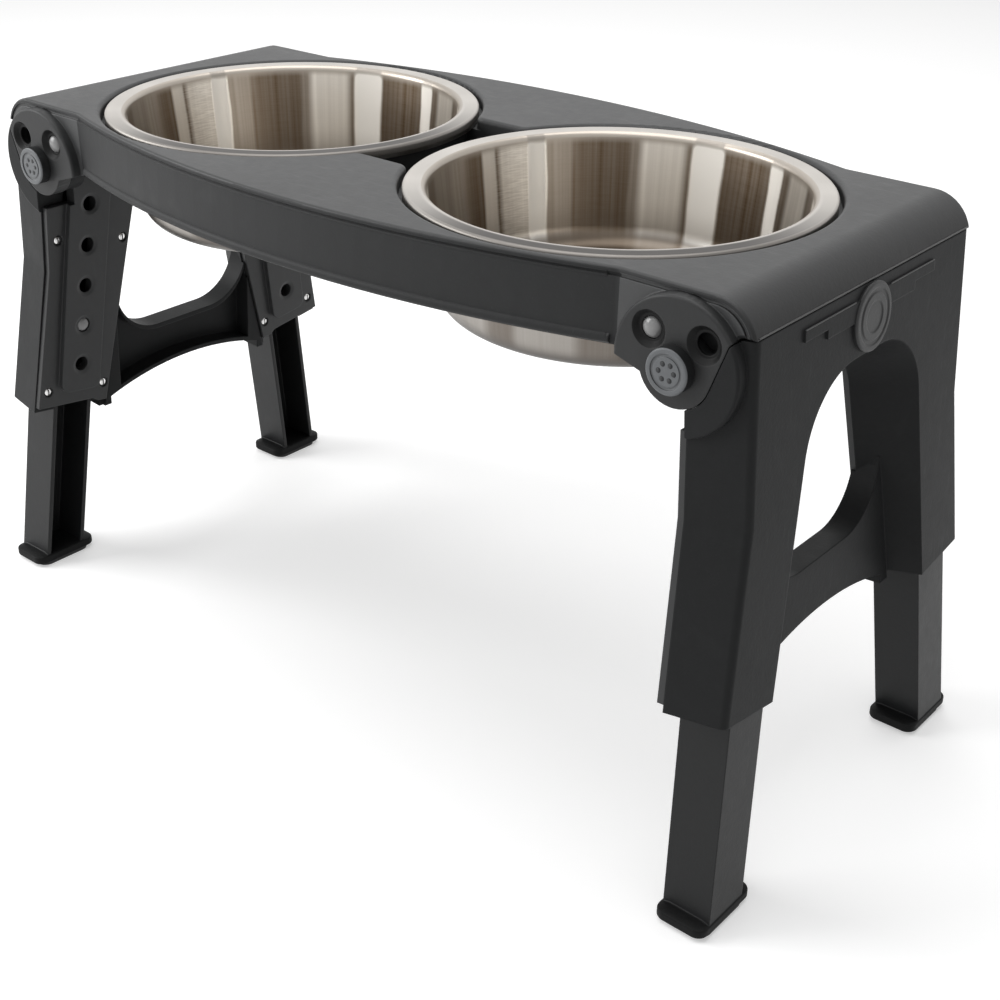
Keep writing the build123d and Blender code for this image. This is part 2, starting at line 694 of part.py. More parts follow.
def build_frame():
    """Both outer legs, the beam and crossbar between them, and two hub lobes."""
    face = FRAME_PLANE * frame_outline(0)
    back = FRAME_PLANE.offset(-FRAME_DEPTH) * frame_outline(FRAME_DEPTH)
    body = loft([face, back], ruled=True)
    corners = []
    for edge in body.edges():
        a = FRAME_PLANE.to_local_coords(edge @ 0)
        b = FRAME_PLANE.to_local_coords(edge @ 1)
        on_face = abs(a.Z) < 0.01 and abs(b.Z) < 0.01
        upright = abs(a.Y - b.Y) > WAIST_DROP / 2 and min(abs(a.X), abs(b.X)) > LEG_TOP_Y
        if on_face and upright:
            corners.append(edge)
    body = fillet(corners, FRAME_EDGE)
    low = OPENING_LOW + BEYOND
    near = FRAME_PLANE.offset(1) * opening_outline(-1, low)
    far = FRAME_PLANE.offset(-FRAME_DEPTH - 1) * opening_outline(FRAME_DEPTH + 1, low)
    body -= loft([near, far], ruled=True)
    boss = hub_boss()
    reach = Rectangle(4 * DECK_SIDE, 4 * DECK_SIDE)
    boss &= slab(FRAME_PLANE, reach, 0, FRAME_DEPTH)
    body += both_sides(boss)
    body += both_sides(frame_hub())
    body -= both_sides(across(deck_side(FOLD_GAP), LOBE_OUTER, BOSS_FACE + 1))
    body += crossbar()
    channel = Pos(0, -(CHANNEL_TOP + LEG_LOW + BEYOND) / 2)
    channel *= Rectangle(2 * CHANNEL_HALF, LEG_LOW + BEYOND - CHANNEL_TOP)
    body -= both_sides(slab(LEG_PLANE, channel, WALL, FRAME_DEPTH + WALL))
    body -= both_sides(side_pocket())
    body -= beam_pockets()
    body -= both_sides(hub_cuts())
    body -= both_sides(screw_set(SCREW_RADIUS + SLIDE_FIT, STOP_GAP))
    return body + medallion()


# Leg cover and its screws


def cover_outline():
    """Cover plate outline: it follows the leg, a little inside its edges."""
    inner = FRAME_DEPTH
    low_out = FOOT_HALF[1] - COVER_INSET
    low_in = opening_half(inner, LEG_LOW) + COVER_INSET
    step_y = LEG_TOP_Y + LEG_LOW * math.sin(SPLAY) - RIB_HALF
    top_in = opening_half(inner, COVER_TOP) + COVER_INSET
    waist = WAIST_HALF_WIDTH[1] - COVER_INSET
    share = (COVER_NOTCH_TOP - FOLD_GAP) / (WAIST_DROP - FOLD_GAP)
    notch_out = TOP_HALF[1] + (WAIST_HALF_WIDTH[1] - TOP_HALF[1]) * share - COVER_INSET
    lift = COVER_STEP + COVER_INSET
    return Polygon(
        (top_in, -COVER_TOP),
        (COVER_NOTCH_Y, -COVER_TOP),
        (COVER_NOTCH_Y, -COVER_NOTCH_TOP),
        (notch_out, -COVER_NOTCH_TOP),
        (waist, -WAIST_DROP),
        (low_out, leg_end(low_out) + lift),
        (step_y + COVER_STEP_HALF, leg_end(step_y + COVER_STEP_HALF) + lift),
        (step_y - COVER_STEP_HALF, leg_end(step_y - COVER_STEP_HALF) + COVER_INSET),
        (low_in, leg_end(low_in) + COVER_INSET),
        align=None,
    )


def screw_set(radius, extra):
    """Four screw shanks, or the holes for them."""
    shanks = None
    for y, down in SCREWS:
        start = COVER_FACE - SCREW_RECESS
        tip = start - SCREW_LENGTH - extra
        shank = slab(FRAME_PLANE, Pos(y, -down) * Circle(radius), tip, start)
        shanks = shank if shanks is None else shanks + shank
    return shanks


def build_cover():
    """Leg cover: a plate with a raised rib, five height holes and screw recesses."""
    plate = slab(FRAME_PLANE, cover_outline(), FRAME_DEPTH, COVER_FACE)
    length = RIB_LOW - COVER_TOP
    rib = Pos(0, -COVER_TOP - length / 2) * Rectangle(2 * RIB_HALF, length)
    rib = fillet(rib.vertices(), RIB_CORNER)
    plate += slab(LEG_PLANE, rib, COVER_FACE - 1, RIB_FACE)
    notch = Pos(COVER_NOTCH_Y + DECK_SIDE / 2, 0) * Rectangle(DECK_SIDE, 2 * COVER_NOTCH_TOP)
    plate -= slab(FRAME_PLANE, notch, FRAME_DEPTH - 1, RIB_FACE + 1)
    last = FIRST_HOLE + (HOLE_COUNT - 1) * HOLE_PITCH
    track_half = BUTTON_RADIUS + TRACK_CLEARANCE
    middle = Pos(0, -(FIRST_HOLE + last) / 2)
    track = middle * Rectangle(2 * track_half, last - FIRST_HOLE)
    track += Pos(0, -FIRST_HOLE) * Circle(track_half)
    track += Pos(0, -last) * Circle(track_half)
    plate -= slab(LEG_PLANE, track, FRAME_DEPTH - 1, RIB_TRACK_END)
    hole_radius = BUTTON_RADIUS + PIN_HOLE_CLEARANCE
    for count in range(HOLE_COUNT):
        along = FIRST_HOLE + count * HOLE_PITCH
        plate -= leg_round(hole_radius, along, RIB_TRACK_END - 1, RIB_FACE + 1)
        floor = LEG_PLANE.offset(-(RIB_FACE - HOLE_DISH_DEPTH)) * Pos(0, -along)
        mouth = LEG_PLANE.offset(-RIB_FACE) * Pos(0, -along)
        dish = [floor * Circle(hole_radius + HOLE_LIP), mouth * Circle(HOLE_DISH)]
        plate -= loft(dish)
    for y, down in SCREWS:
        spot = Pos(y, -down)
        recess_low = COVER_FACE - SCREW_RECESS
        plate -= slab(FRAME_PLANE, spot * Circle(SCREW_RECESS_RADIUS), recess_low, COVER_FACE + 1)
        hole = spot * Circle(SCREW_RADIUS + SCREW_FIT)
        plate -= slab(FRAME_PLANE, hole, FRAME_DEPTH - 1, COVER_FACE)
    return plate


def build_screws():
    """The four screws of one cover."""
    screws = screw_set(SCREW_RADIUS, 0)
    for y, down in SCREWS:
        start = COVER_FACE - SCREW_RECESS
        head = Pos(y, -down) * Circle(SCREW_HEAD_RADIUS)
        socket = Pos(y, -down) * Rectangle(SCREW_HEAD_RADIUS, SCREW_SLOT)
        screws += slab(FRAME_PLANE, head, start, start + SCREW_HEAD)
        screws -= slab(FRAME_PLANE, socket, start + SCREW_HEAD / 2, start + 2 * SCREW_HEAD)
    return screws


# Inner leg, foot and sole


def foot_centre():
    """Where the leg's axis meets the top of the foot, in plan."""
    depth = -(LEG_FACE + LEG_BACK) / 2
    high = LEG_PLANE.from_local_coords((0, 0, depth))
    low = LEG_PLANE.from_local_coords((0, -1, depth))
    along = (high.Z - FOOT_HEIGHT) / (high.Z - low.Z)
    return LEG_PLANE.from_local_coords((0, -along, depth))


def build_inner_leg():
    """Telescoping leg: a channel open to the inside, with a flared foot."""
    length = DECK_TOP + FOOT_HEIGHT - LEG_START
    centre = Pos(0, -LEG_START - length / 2)
    leg = slab(LEG_PLANE, centre * Rectangle(LEG_WIDTH, length), LEG_FACE, LEG_BACK)
    room = centre * Rectangle(LEG_WIDTH - 2 * LEG_WALL, length + 2)
    leg -= slab(LEG_PLANE, room, LEG_FACE + LEG_WALL, LEG_BACK + 1)
    bridge = Pos(0, -LEG_START - BRIDGE_LENGTH / 2) * Rectangle(LEG_WIDTH - LEG_WALL, BRIDGE_LENGTH)
    leg += slab(LEG_PLANE, bridge, LEG_BACK - BRIDGE, LEG_BACK)
    leg -= leg_round(BUTTON_RADIUS + SLIDE_FIT, BUTTON_AT, LEG_BACK - BRIDGE - 1, LEG_BACK + 1)
    spot = foot_centre()
    top = FOOT_HEIGHT - 0.5
    leg -= Pos(spot.X, spot.Y, top - DECK_TOP / 2) * Box(DECK_TOP, DECK_TOP, DECK_TOP)
    low_plan = RectangleRounded(FOOT_X - FOOT_TUCK / 2, FOOT_Y - 2 * FOOT_TUCK, FOOT_CORNER)
    top_plan = RectangleRounded(FOOT_X, FOOT_Y, FOOT_CORNER)
    taper = FOOT_HEIGHT - FOOT_EDGE
    foot = loft([Pos(spot.X, spot.Y, SOLE) * low_plan, Pos(spot.X, spot.Y, taper) * top_plan])
    foot += extrude(Pos(spot.X, spot.Y, taper) * top_plan, amount=FOOT_EDGE)
    return leg + foot


def build_sole():
    """Thin pad under a foot."""
    spot = foot_centre()
    width = FOOT_X - FOOT_TUCK / 2 - 2 * SOLE_INSET
    length = FOOT_Y - 2 * FOOT_TUCK - 2 * SOLE_INSET
    plan = RectangleRounded(width, length, FOOT_CORNER - SOLE_INSET)
    return extrude(Pos(spot.X, spot.Y, 0) * plan, amount=SOLE)


# Domed pins and their springs


def domed_pin(radius, tip_to_face, flange):
    """A domed pin along +Z with its tip at zero and a flange behind."""
    pin = Pos(0, 0, -radius) * Sphere(radius)
    shank = tip_to_face - radius
    pin += Pos(0, 0, -radius - shank / 2) * Cylinder(radius, shank)
    pin += Pos(0, 0, -tip_to_face - flange / 2) * Cylinder(radius + FLANGE_RIM, flange)
    return pin


def build_leg_button():
    """Snap button that holds the leg's height."""
    pin = domed_pin(BUTTON_RADIUS, BUTTON_TIP - BUTTON_FLANGE_FACE, FLANGE)
    tip = LEG_PLANE.from_local_coords((0, -BUTTON_AT, -BUTTON_TIP))
    place = Plane(origin=tip, x_dir=LEG_PLANE.x_dir, z_dir=-LEG_PLANE.z_dir)
    return place * pin


def build_leg_spring():
    """Bent leaf between the inner leg's web and its button."""
    web = LEG_FACE + LEG_WALL
    rest = BUTTON_FLANGE_FACE - FLANGE - LEAF_GAP
    start = BUTTON_AT + LEG_LEAF_START
    bend = BUTTON_AT + LEG_LEAF_BEND
    turn = BUTTON_AT + LEG_LEAF_TIP
    stop = BUTTON_AT - LEG_LEAF_TIP
    outline = Polygon(
        (web, -start),
        (web + LEAF, -start),
        (web + LEAF, -bend - LEAF / 2),
        (rest, -turn),
        (rest, -stop),
        (rest - LEAF, -stop),
        (rest - LEAF, -turn - LEAF / 2),
        (web, -bend),
        align=None,
    )
    side = Plane(
        origin=LEG_PLANE.from_local_coords((-LEG_LEAF_WIDTH / 2, 0, 0)),
        x_dir=-LEG_PLANE.z_dir,
        z_dir=LEG_PLANE.x_dir,
    )
    if side.y_dir.dot(LEG_PLANE.y_dir) < 0:
        outline = mirror(outline, about=Plane.XZ)
    return extrude(side * outline, amount=LEG_LEAF_WIDTH, dir=side.z_dir)


def build_lock_pin():
    """Domed pin that locks the fold."""
    pin = domed_pin(PIN_RADIUS, PIN_TIP - PIN_FLANGE_FACE, FLANGE)
    tip = orbit_point(PIN_ANGLE, PIN_ORBIT, PIN_TIP)
    return Plane(origin=tip, x_dir=(1, 0, 0), z_dir=(0, 1, 0)) * pin


def build_lock_spring():
    """Leaf on the hub lobe's inner face that presses the lock pin outward."""
    line = lock_leaf_line()
    sink = PIN_FLANGE_FACE - FLANGE - LEAF_GAP - LOBE_INNER
    reach = leaf_reach()
    knee = reach / 2
    outline = Polygon(
        (-LEAF_TAIL, 0),
        (knee, 0),
        (knee + sink, -sink),
        (reach + LEAF_OVERRUN, -sink),
        (reach + LEAF_OVERRUN, LEAF - sink),
        (knee + sink, LEAF - sink),
        (knee, LEAF),
        (-LEAF_TAIL, LEAF),
        align=None,
    )
    across_leaf = Plane(
        origin=line.from_local_coords((0, LEAF_WIDTH / 2, 0)),
        x_dir=line.x_dir,
        z_dir=-line.y_dir,
    )
    if across_leaf.y_dir.dot(line.z_dir) < 0:
        outline = mirror(outline, about=Plane.XZ)
    return extrude(across_leaf * outline, amount=LEAF_WIDTH, dir=across_leaf.z_dir)


# Hinge axle and cap


def build_axle():
    """Headed axle through the hub lobe and the deck's ear."""
    head = LOBE_INNER - LOBE_GAP
    axle = hinge_disc(AXLE_RADIUS, head, BOSS_FACE + CAP_SOCKET)
    return axle + hinge_disc(AXLE_HEAD_RADIUS, head - AXLE_HEAD, head)


def build_cap():
    """Round cap over the axle's end, with a raised ring near its edge."""
    face = BOSS_FACE + CAP_PROUD
    cap = hinge_disc(CAP_RADIUS, BOSS_FACE, face)
    cap = fillet(cap.edges().group_by(Axis.Y)[-1], CAP_EDGE)
    cap -= hinge_disc(CAP_RADIUS - CAP_RIM, face - CAP_GROOVE_DEPTH, face + 1)
    cap += hinge_disc(CAP_RADIUS - CAP_FIELD_INSET, face - 1, face - CAP_FIELD_DEPTH)
    socket = BOSS_FACE + CAP_SOCKET + STOP_GAP
    return cap - hinge_disc(AXLE_RADIUS + AXLE_FIT, BOSS_FACE - 1, socket)


# Placing and writing


def corner(shape, side_x, side_y):
    """A right rear shape, mirrored to the corner that is asked for."""
    if side_x < 0:
        shape = mirror(shape, about=Plane.YZ)
    if side_y < 0:
        shape = mirror(shape, about=Plane.XZ)
    return shape


def write(name, shape):
    """Write one node."""
    export_step(shape, os.path.join("parts", name + ".step"))


SIDES = (("left", -1), ("right", 1))
ENDS = (("front", -1), ("rear", 1))
CORNER_NODES = (
    ("leg_cover", build_cover),
    ("cover_screws", build_screws),
    ("inner_leg", build_inner_leg),
    ("foot_sole", build_sole),
    ("leg_button", build_leg_button),
    ("leg_spring", build_leg_spring),
    ("lock_pin", build_lock_pin),
    ("lock_spring", build_lock_spring),
    ("hinge_axle", build_axle),
    ("hinge_cap", build_cap),
)


def main():
    """Build every node once and write it, with its mirror images."""
    os.makedirs("parts", exist_ok=True)
    write("deck", build_deck())
    frame = build_frame()
    for side, side_x in SIDES:
        write("bowl_" + side, build_bowl(side_x))
        write("leg_frame_" + side, corner(frame, side_x, 1))
    for name, build in CORNER_NODES:
        shape = build()
        for side, side_x in SIDES:
            for end, side_y in ENDS:
                write(f"{name}_{end}_{side}", corner(shape, side_x, side_y))


main()
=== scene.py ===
import math

import bmesh
import bpy
from mathutils import Matrix, Vector


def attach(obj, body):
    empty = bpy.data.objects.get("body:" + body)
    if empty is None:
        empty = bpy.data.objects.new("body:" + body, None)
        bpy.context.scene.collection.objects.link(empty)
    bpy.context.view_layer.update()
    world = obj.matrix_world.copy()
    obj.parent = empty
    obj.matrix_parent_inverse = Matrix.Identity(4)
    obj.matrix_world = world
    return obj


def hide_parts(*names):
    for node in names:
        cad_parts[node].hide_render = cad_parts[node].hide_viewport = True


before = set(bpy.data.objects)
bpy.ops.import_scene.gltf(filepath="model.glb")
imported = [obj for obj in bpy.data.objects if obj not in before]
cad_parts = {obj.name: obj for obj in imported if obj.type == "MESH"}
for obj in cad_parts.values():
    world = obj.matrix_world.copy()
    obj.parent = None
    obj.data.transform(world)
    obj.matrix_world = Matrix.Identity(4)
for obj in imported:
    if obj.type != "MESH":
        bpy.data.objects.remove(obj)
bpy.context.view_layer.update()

SIDES = (("left", -1), ("right", 1))
ENDS = (("front", -1), ("rear", 1))
CORNERS = tuple((end + "_" + side, sx, sy) for side, sx in SIDES for end, sy in ENDS)

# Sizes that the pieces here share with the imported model, in metres
DECK_TOP = 0.320
SEAM = Vector((0.267, 0.0, 0.304))
END_ROLL = (0.238, 0.262)
BOW_RADIUS = 0.64875
BOW_CENTRE = -0.51675
BOWL_X = 0.12075
BOWL_DEPTH = 0.066
RIM_RADIUS = 0.111
RIM_TOP = 0.3198
RECESS_FLOOR = 0.313
STEEL = 0.001
HINGE = Vector((0.2314, 0.0, 0.2843))
BOSS_FACE = 0.1078
BOSS_RADIUS = 0.0332
BOSS_HEIGHT = 0.0045
DISH_RADIUS = 0.0090
EAR_PLANE = 0.10
EAR_REACH = 0.060
EAR_FOOT = 0.27
PIN_ORBIT = 0.0204
PIN_HOLE = 0.0052
CAP_FACE = 0.1141
FRAME_LEAN = math.radians(4.35)
LEG_LEAN = math.radians(8.2)
LEG_TOP_Y = 0.0682
COVER_FACE = 0.0355
RIB_FACE = 0.0395
SCREWS = ((0.0985, 0.069), (0.0495, 0.079), (0.1155, 0.170), (0.0726, 0.177))
SCREW_RECESS = 0.0016
BUTTON_ALONG = 0.1305
BUTTON_HOLE = 0.0048
MEDALLION_DROP = 0.0178
BAR_DROP = 0.0065
FOOT_PLACE = Vector((0.271962, 0.110211))
FOOT_LENGTH = 0.0462
FOOT_WIDTH = 0.0295
CAD_FOOT_TOP = 0.012


# Finishes


class Term:
    """An output socket that takes Python's operators."""

    def __init__(self, finish, socket):
        self.finish = finish
        self.socket = socket

    def maths(self, operation, *values):
        return self.finish.add("ShaderNodeMath", {"operation": operation}, *values)

    def __add__(self, other):
        return self.maths("ADD", self, other)

    def __radd__(self, other):
        return self.maths("ADD", other, self)

    def __sub__(self, other):
        return self.maths("SUBTRACT", self, other)

    def __rsub__(self, other):
        return self.maths("SUBTRACT", other, self)

    def __mul__(self, other):
        return self.maths("MULTIPLY", self, other)

    def __rmul__(self, other):
        return self.maths("MULTIPLY", other, self)

    def __truediv__(self, other):
        return self.maths("DIVIDE", self, other)

    def __pow__(self, other):
        return self.maths("POWER", self, other)

    def size(self):
        """This value without its sign."""
        return self.maths("ABSOLUTE", self)

    def clamped(self):
        return self.finish.add("ShaderNodeClamp", {}, self)

    def between(self, low, high, low_value=0.0, high_value=1.0):
        """This value's place between two others, eased and clamped."""
        values = (self, low, high, low_value, high_value)
        return self.finish.add("ShaderNodeMapRange", {"interpolation_type": "SMOOTHSTEP"}, *values)


class Finish:
    """A material under construction."""

    def __init__(self, name, metallic=0.0, specular=0.5):
        self.material = bpy.data.materials.new(name)
        self.material.use_nodes = True
        self.tree = self.material.node_tree
        self.shader = self.tree.nodes["Principled BSDF"]
        self.shader.inputs["Metallic"].default_value = metallic
        self.shader.inputs["Specular IOR Level"].default_value = specular
        self.place = self.add("ShaderNodeTexCoord", {}, output="Object")

    def add(self, kind, settings, *values, output=0, **named):
        """A node: settings first, then its inputs by order or by name."""
        node = self.tree.nodes.new(kind)
        for key, value in settings.items():
            setattr(node, key, value)
        for index, value in enumerate(values):
            self.feed(node.inputs[index], value)
        for key, value in named.items():
            self.feed(node.inputs[key], value)
        return Term(self, node.outputs[output])

    def feed(self, socket, value):
        if isinstance(value, Term):
            self.tree.links.new(value.socket, socket)
        else:
            socket.default_value = value

    def scaled(self, x, y, z):
        """Object coordinates, stretched."""
        settings = {"vector_type": "POINT"}
        return self.add("ShaderNodeMapping", settings, self.place, Scale=(x, y, z))

    def joined(self, x, y, z):
        """Three values as a place."""
        return self.add("ShaderNodeCombineXYZ", {}, x, y, z)

    def noise(self, scale, detail=2.0, at=None, roughness=0.5):
        """Noise from 0 to 1 on the object's coordinates, or at a place of its own."""
        named = {"Vector": at or self.place, "Scale": scale}
        named.update({"Detail": detail, "Roughness": roughness})
        return self.add("ShaderNodeTexNoise", {}, output="Fac", **named)

    def parts(self):
        """The three object coordinates as values."""
        node = self.tree.nodes.new("ShaderNodeSeparateXYZ")
        self.feed(node.inputs[0], self.place)
        return [Term(self, out) for out in node.outputs]

    def mixed(self, share, first, second):
        """Two colours mixed by a share."""
        node = self.tree.nodes.new("ShaderNodeMix")
        node.data_type = "RGBA"
        self.feed(node.inputs[0], share)
        self.feed(node.inputs[6], first)
        self.feed(node.inputs[7], second)
        return Term(self, node.outputs[2])

    def bump(self, height, strength, distance, under=None):
        """A normal raised by a height, over another normal where one is given."""
        named = {"Strength": strength, "Distance": distance, "Height": height}
        if under is not None:
            named["Normal"] = under
        return self.add("ShaderNodeBump", {}, **named)

    def done(self, **named):
        """The material, with its changing sockets fed."""
        for key, value in named.items():
            self.feed(self.shader.inputs[key.replace("_", " ")], value)
        return self.material


def grey(value, warm=0.0):
    """A grey, a little blue for a negative warmth and a little brown for a positive one."""
    return (value * (1 + warm), value, value * (1 - warm), 1.0)


# The plastic's edges are shaded as if rounded this much; the painted shade on the deck's ends
# stops this far below its top
EDGE_ROUND = 0.0011
END_SHADE_DROP = 0.0015


def moulded(name, tone, warm=-0.04, roughness=0.5, grain=0.18, specular=0.5, shaded_ends=False):
    """Moulded plastic: fine grain, faint flow marks, dust in the grain and dry scuffs."""
    finish = Finish(name, specular=specular)
    cloud = finish.noise(14.0, 3.0)
    mottle = finish.noise(160.0, 3.0)
    grain_height = finish.noise(1500.0, 2.0)
    coarse = finish.noise(480.0, 2.0)
    dust = finish.noise(900.0, 1.0).between(0.62, 0.78)
    streak = finish.noise(60.0, 2.0, finish.scaled(1.0, 6.0, 1.0)).between(0.55, 0.8)
    share = (cloud - 0.5) * 0.5 + (mottle - 0.5) * 0.35 + streak * 0.12 + dust * 0.22 + 0.4
    colour = finish.mixed(share.clamped(), grey(tone * 0.78, warm), grey(tone * 1.35, warm))
    # Painted shade: the deck's end rolls darken towards the seam
    if shaded_ends:
        x, _, z = finish.parts()
        low = x.size().between(*END_ROLL) * z.between(SEAM.z, DECK_TOP - END_SHADE_DROP, 1.0, 0.0)
        colour = finish.mixed(low * 0.9, colour, grey(tone * 0.05, warm))
    rough = (cloud - 0.5) * 0.12 + (mottle - 0.5) * 0.10 - streak * 0.04 + roughness
    soft_edges = finish.add("ShaderNodeBevel", {"samples": 6}, Radius=EDGE_ROUND)
    fine = finish.bump(grain_height, grain, 0.00025, soft_edges)
    both = finish.bump(coarse, grain * 0.8, 0.0004, fine)
    return finish.done(Base_Color=colour, Roughness=rough.clamped(), Normal=both)


# Each bowl's middle, and the direction of its far side in degrees
FAR_SIDE = {"left": (-BOWL_X, 137.7), "right": (BOWL_X, 125.5)}
# Painted reflections in soft light and dark bands round the drawn wall: degrees from the far side,
# half-width, level
REFLECTION_BANDS = (
    (-70.0, 11.0, 0.22),
    (-48.0, 3.0, 0.62),
    (-37.0, 6.5, 0.60),
    (-28.8, 3.2, 1.30),
    (-21.0, 5.0, 0.16),
    (6.0, 3.0, 0.14),
    (14.5, 8.0, 0.62),
    (30.2, 5.6, 2.00),
    (59.5, 3.4, 1.20),
    (74.0, 7.0, 0.60),
    (98.0, 8.0, 0.85),
    (126.0, 13.0, 0.75),
    (158.0, 9.0, 0.95),
    (-98.0, 8.0, 0.75),
    (-128.0, 12.0, 0.85),
    (-160.0, 10.0, 0.80),
)
# A patch of upright-brushed wall, and the edges of the floor and of its round corner in painted
# shade
BRUSHED_PATCH = (-38.0, 8.0)
FLOOR_EDGE = (0.074, 0.082)
CORNER_EDGE = (0.0905, 0.0950)
WALL_FADE = (RIM_TOP - 0.007, RIM_TOP - 0.002)
# The rim's near side in painted shade: its inner and outer edge, and where round the bowl it begins
ROLL_EDGE = (0.1018, 0.1036)
LIP_EDGE = (0.1088, 0.1096)
NEAR_SIDE = (90.0, 150.0)
# Steel colours; the pale bowl one is painted reflection, the corner one painted shade
DEEP_STEEL = (0.125, 0.086, 0.052, 1.0)
REFLECTION_STEEL = (1.0, 0.965, 0.90, 1.0)
CORNER_SHADE_STEEL = (0.060, 0.046, 0.034, 1.0)
OUTSIDE_STEEL = (0.16, 0.155, 0.150, 1.0)
DULL_RIM = (0.36, 0.338, 0.312, 1.0)
PALE_RIM = (0.57, 0.545, 0.512, 1.0)
SHADED_RIM = (0.030, 0.026, 0.024, 1.0)


def around_bowl(finish, side):
    """Degrees round a bowl from its far side, the distance from its axis, and the height."""
    x, y, z = finish.parts()
    middle, far_side = FAR_SIDE[side]
    off = x - middle
    away = math.radians(far_side)
    ahead = off * math.cos(away) + y * math.sin(away)
    aside = off * math.sin(away) - y * math.cos(away)
    turn = finish.add("ShaderNodeMath", {"operation": "ARCTAN2"}, aside, ahead)
    return turn * (180 / math.pi), (off * off + y * y) ** 0.5, z


def brushed_bowl(name, side, depth=1.0):
    """Drawn bowl steel: warm brown with pale bands of painted reflection and painted shade in the
    round corner, brushed round the wall.
    """
    finish = Finish(name, metallic=1.0)
    turn, radius, z = around_bowl(finish, side)
    wander = finish.joined(turn * 0.05, z * 14.0, 0.0)
    bent = turn + (finish.noise(1.0, 2.0, wander) - 0.5) * 3.0
    # Painted reflections: bands at fixed turns round the wall
    share = 0.07
    for middle, half, level in REFLECTION_BANDS:
        away = (bent - middle).size() / half
        share = share + away.between(0.72, 1.22, level * depth, 0.0)
    fine_bands = finish.noise(1.0, 3.0, finish.joined(turn * 0.42, z * 2.0, 0.0), 0.68)
    rings = finish.noise(1.0, 3.0, finish.joined(turn * 0.10, z * 1500.0, radius * 900.0), 0.7)
    stroke_place = finish.joined(turn * 0.16 + z * 30.0, z * 1300.0, 0.0)
    strokes = finish.noise(1.0, 2.0, stroke_place, 0.55).between(0.30, 0.72)
    middle, half = BRUSHED_PATCH
    patch = ((turn - middle).size() / half).between(0.6, 1.2, 1.0, 0.0)
    share = share + (fine_bands - 0.5) * 0.30 + (rings - 0.5) * 0.07
    share = share + (strokes - 0.4) * patch * 0.20
    # The palest bands are made less metallic, a painted highlight
    painted_highlight = share.between(0.8, 1.5) * 0.75
    # The painted reflection bands fade out just below the rim
    fade = z.between(*WALL_FADE)
    share = share * (1.0 - fade) + fade * 0.30
    # Painted shade darkens the round corner and dims its bands
    corner_shade = radius.between(*CORNER_EDGE, 1.0, 0.0)
    share = share * (1.0 - corner_shade * 0.7) + corner_shade * 0.10
    on_floor = radius.between(*FLOOR_EDGE, 1.0, 0.0)
    share = share * (1.0 - on_floor * 0.95) + on_floor * (rings * 0.3 + 0.36)
    colour = finish.mixed(share.clamped(), DEEP_STEEL, REFLECTION_STEEL)
    corner_shaded = finish.mixed(corner_shade * 0.76, colour, CORNER_SHADE_STEEL)
    colour = finish.mixed(1.0 - depth, corner_shaded, OUTSIDE_STEEL)
    rough = (rings - 0.5) * 0.10 + (fine_bands - 0.5) * 0.08 + 0.36
    metal = 1.0 - painted_highlight * (1.0 - corner_shade)
    named = {"Metallic": metal, "Normal": finish.bump(rings, 0.12, 0.00005)}
    return finish.done(Base_Color=colour, Roughness=rough.clamped(), **named)


def rim_steel(name, side):
    """Satin rim, brushed round, paler than the wall, with painted shade on its near side."""
    finish = Finish(name, metallic=1.0)
    turn, radius, z = around_bowl(finish, side)
    rings = finish.noise(1.0, 3.0, finish.joined(turn * 0.03, z * 700.0, radius * 1400.0), 0.7)
    sweep = finish.noise(1.0, 2.0, finish.joined(turn * 0.04, 0.0, 0.0))
    share = (rings - 0.5) * 0.4 + (sweep - 0.5) * 0.9 + 0.5
    satin = finish.mixed(share.clamped(), DULL_RIM, PALE_RIM)
    # Painted shade on the outer roll of the rim's near side
    roll_shade = radius.between(*ROLL_EDGE) * 0.92 - radius.between(*LIP_EDGE) * 0.25
    colour = finish.mixed(turn.size().between(*NEAR_SIDE) * roll_shade, satin, SHADED_RIM)
    rough = ((rings - 0.5) * 0.16 + 0.44).clamped()
    brushed = finish.bump(rings, 0.10, 0.00005)
    return finish.done(Base_Color=colour, Roughness=rough, Normal=brushed)


def plated(name, tone=0.86, roughness=0.18):
    """Plated or turned steel with fine marks."""
    finish = Finish(name, metallic=1.0)
    marks = finish.noise(2500.0, 3.0)
    cloud = finish.noise(300.0, 2.0)
    colour = finish.mixed(cloud, grey(tone * 0.8, 0.02), grey(tone, 0.0))
    rough = ((marks - 0.5) * 0.2 + roughness).clamped()
    marked = finish.bump(marks, 0.1, 0.00005)
    return finish.done(Base_Color=colour, Roughness=rough, Normal=marked)


SKIRT = moulded("skirt_plastic", 0.029, warm=-0.02, roughness=0.55, specular=0.18)
DECK = moulded("deck_plastic", 0.029, warm=-0.02, roughness=0.44, specular=0.32, shaded_ends=True)
BOSS = moulded("boss_plastic", 0.024, warm=-0.02, roughness=0.46, specular=0.26)
DISH_SHADE = moulded("dish_shade_plastic", 0.007, warm=-0.02, roughness=0.46, specular=0.16)
CAP_SIDE_SHADE = moulded("cap_side_shade", 0.016, warm=-0.03, roughness=0.42, specular=0.2)
LIT_EAR = moulded("lit_ear_plastic", 0.055, warm=-0.02, roughness=0.46, specular=0.40)
FRAME = moulded("frame_plastic", 0.018, warm=-0.03, roughness=0.46, specular=0.10)
COVER = moulded("cover_plastic", 0.036, warm=-0.02, roughness=0.40, grain=0.1, specular=0.30)
INNER_LEG = moulded("leg_plastic", 0.011, warm=-0.04, roughness=0.42, specular=0.25)
MEDALLION = moulded("medallion_plastic", 0.030, warm=-0.02, roughness=0.40, specular=0.34)
EDGE_HIGHLIGHT = moulded("edge_highlight", 0.085, warm=0.0, roughness=0.40, grain=0.1, specular=0.4)
FOOT = moulded("foot_plastic", 0.006, warm=-0.02, roughness=0.55, grain=0.3, specular=0.12)
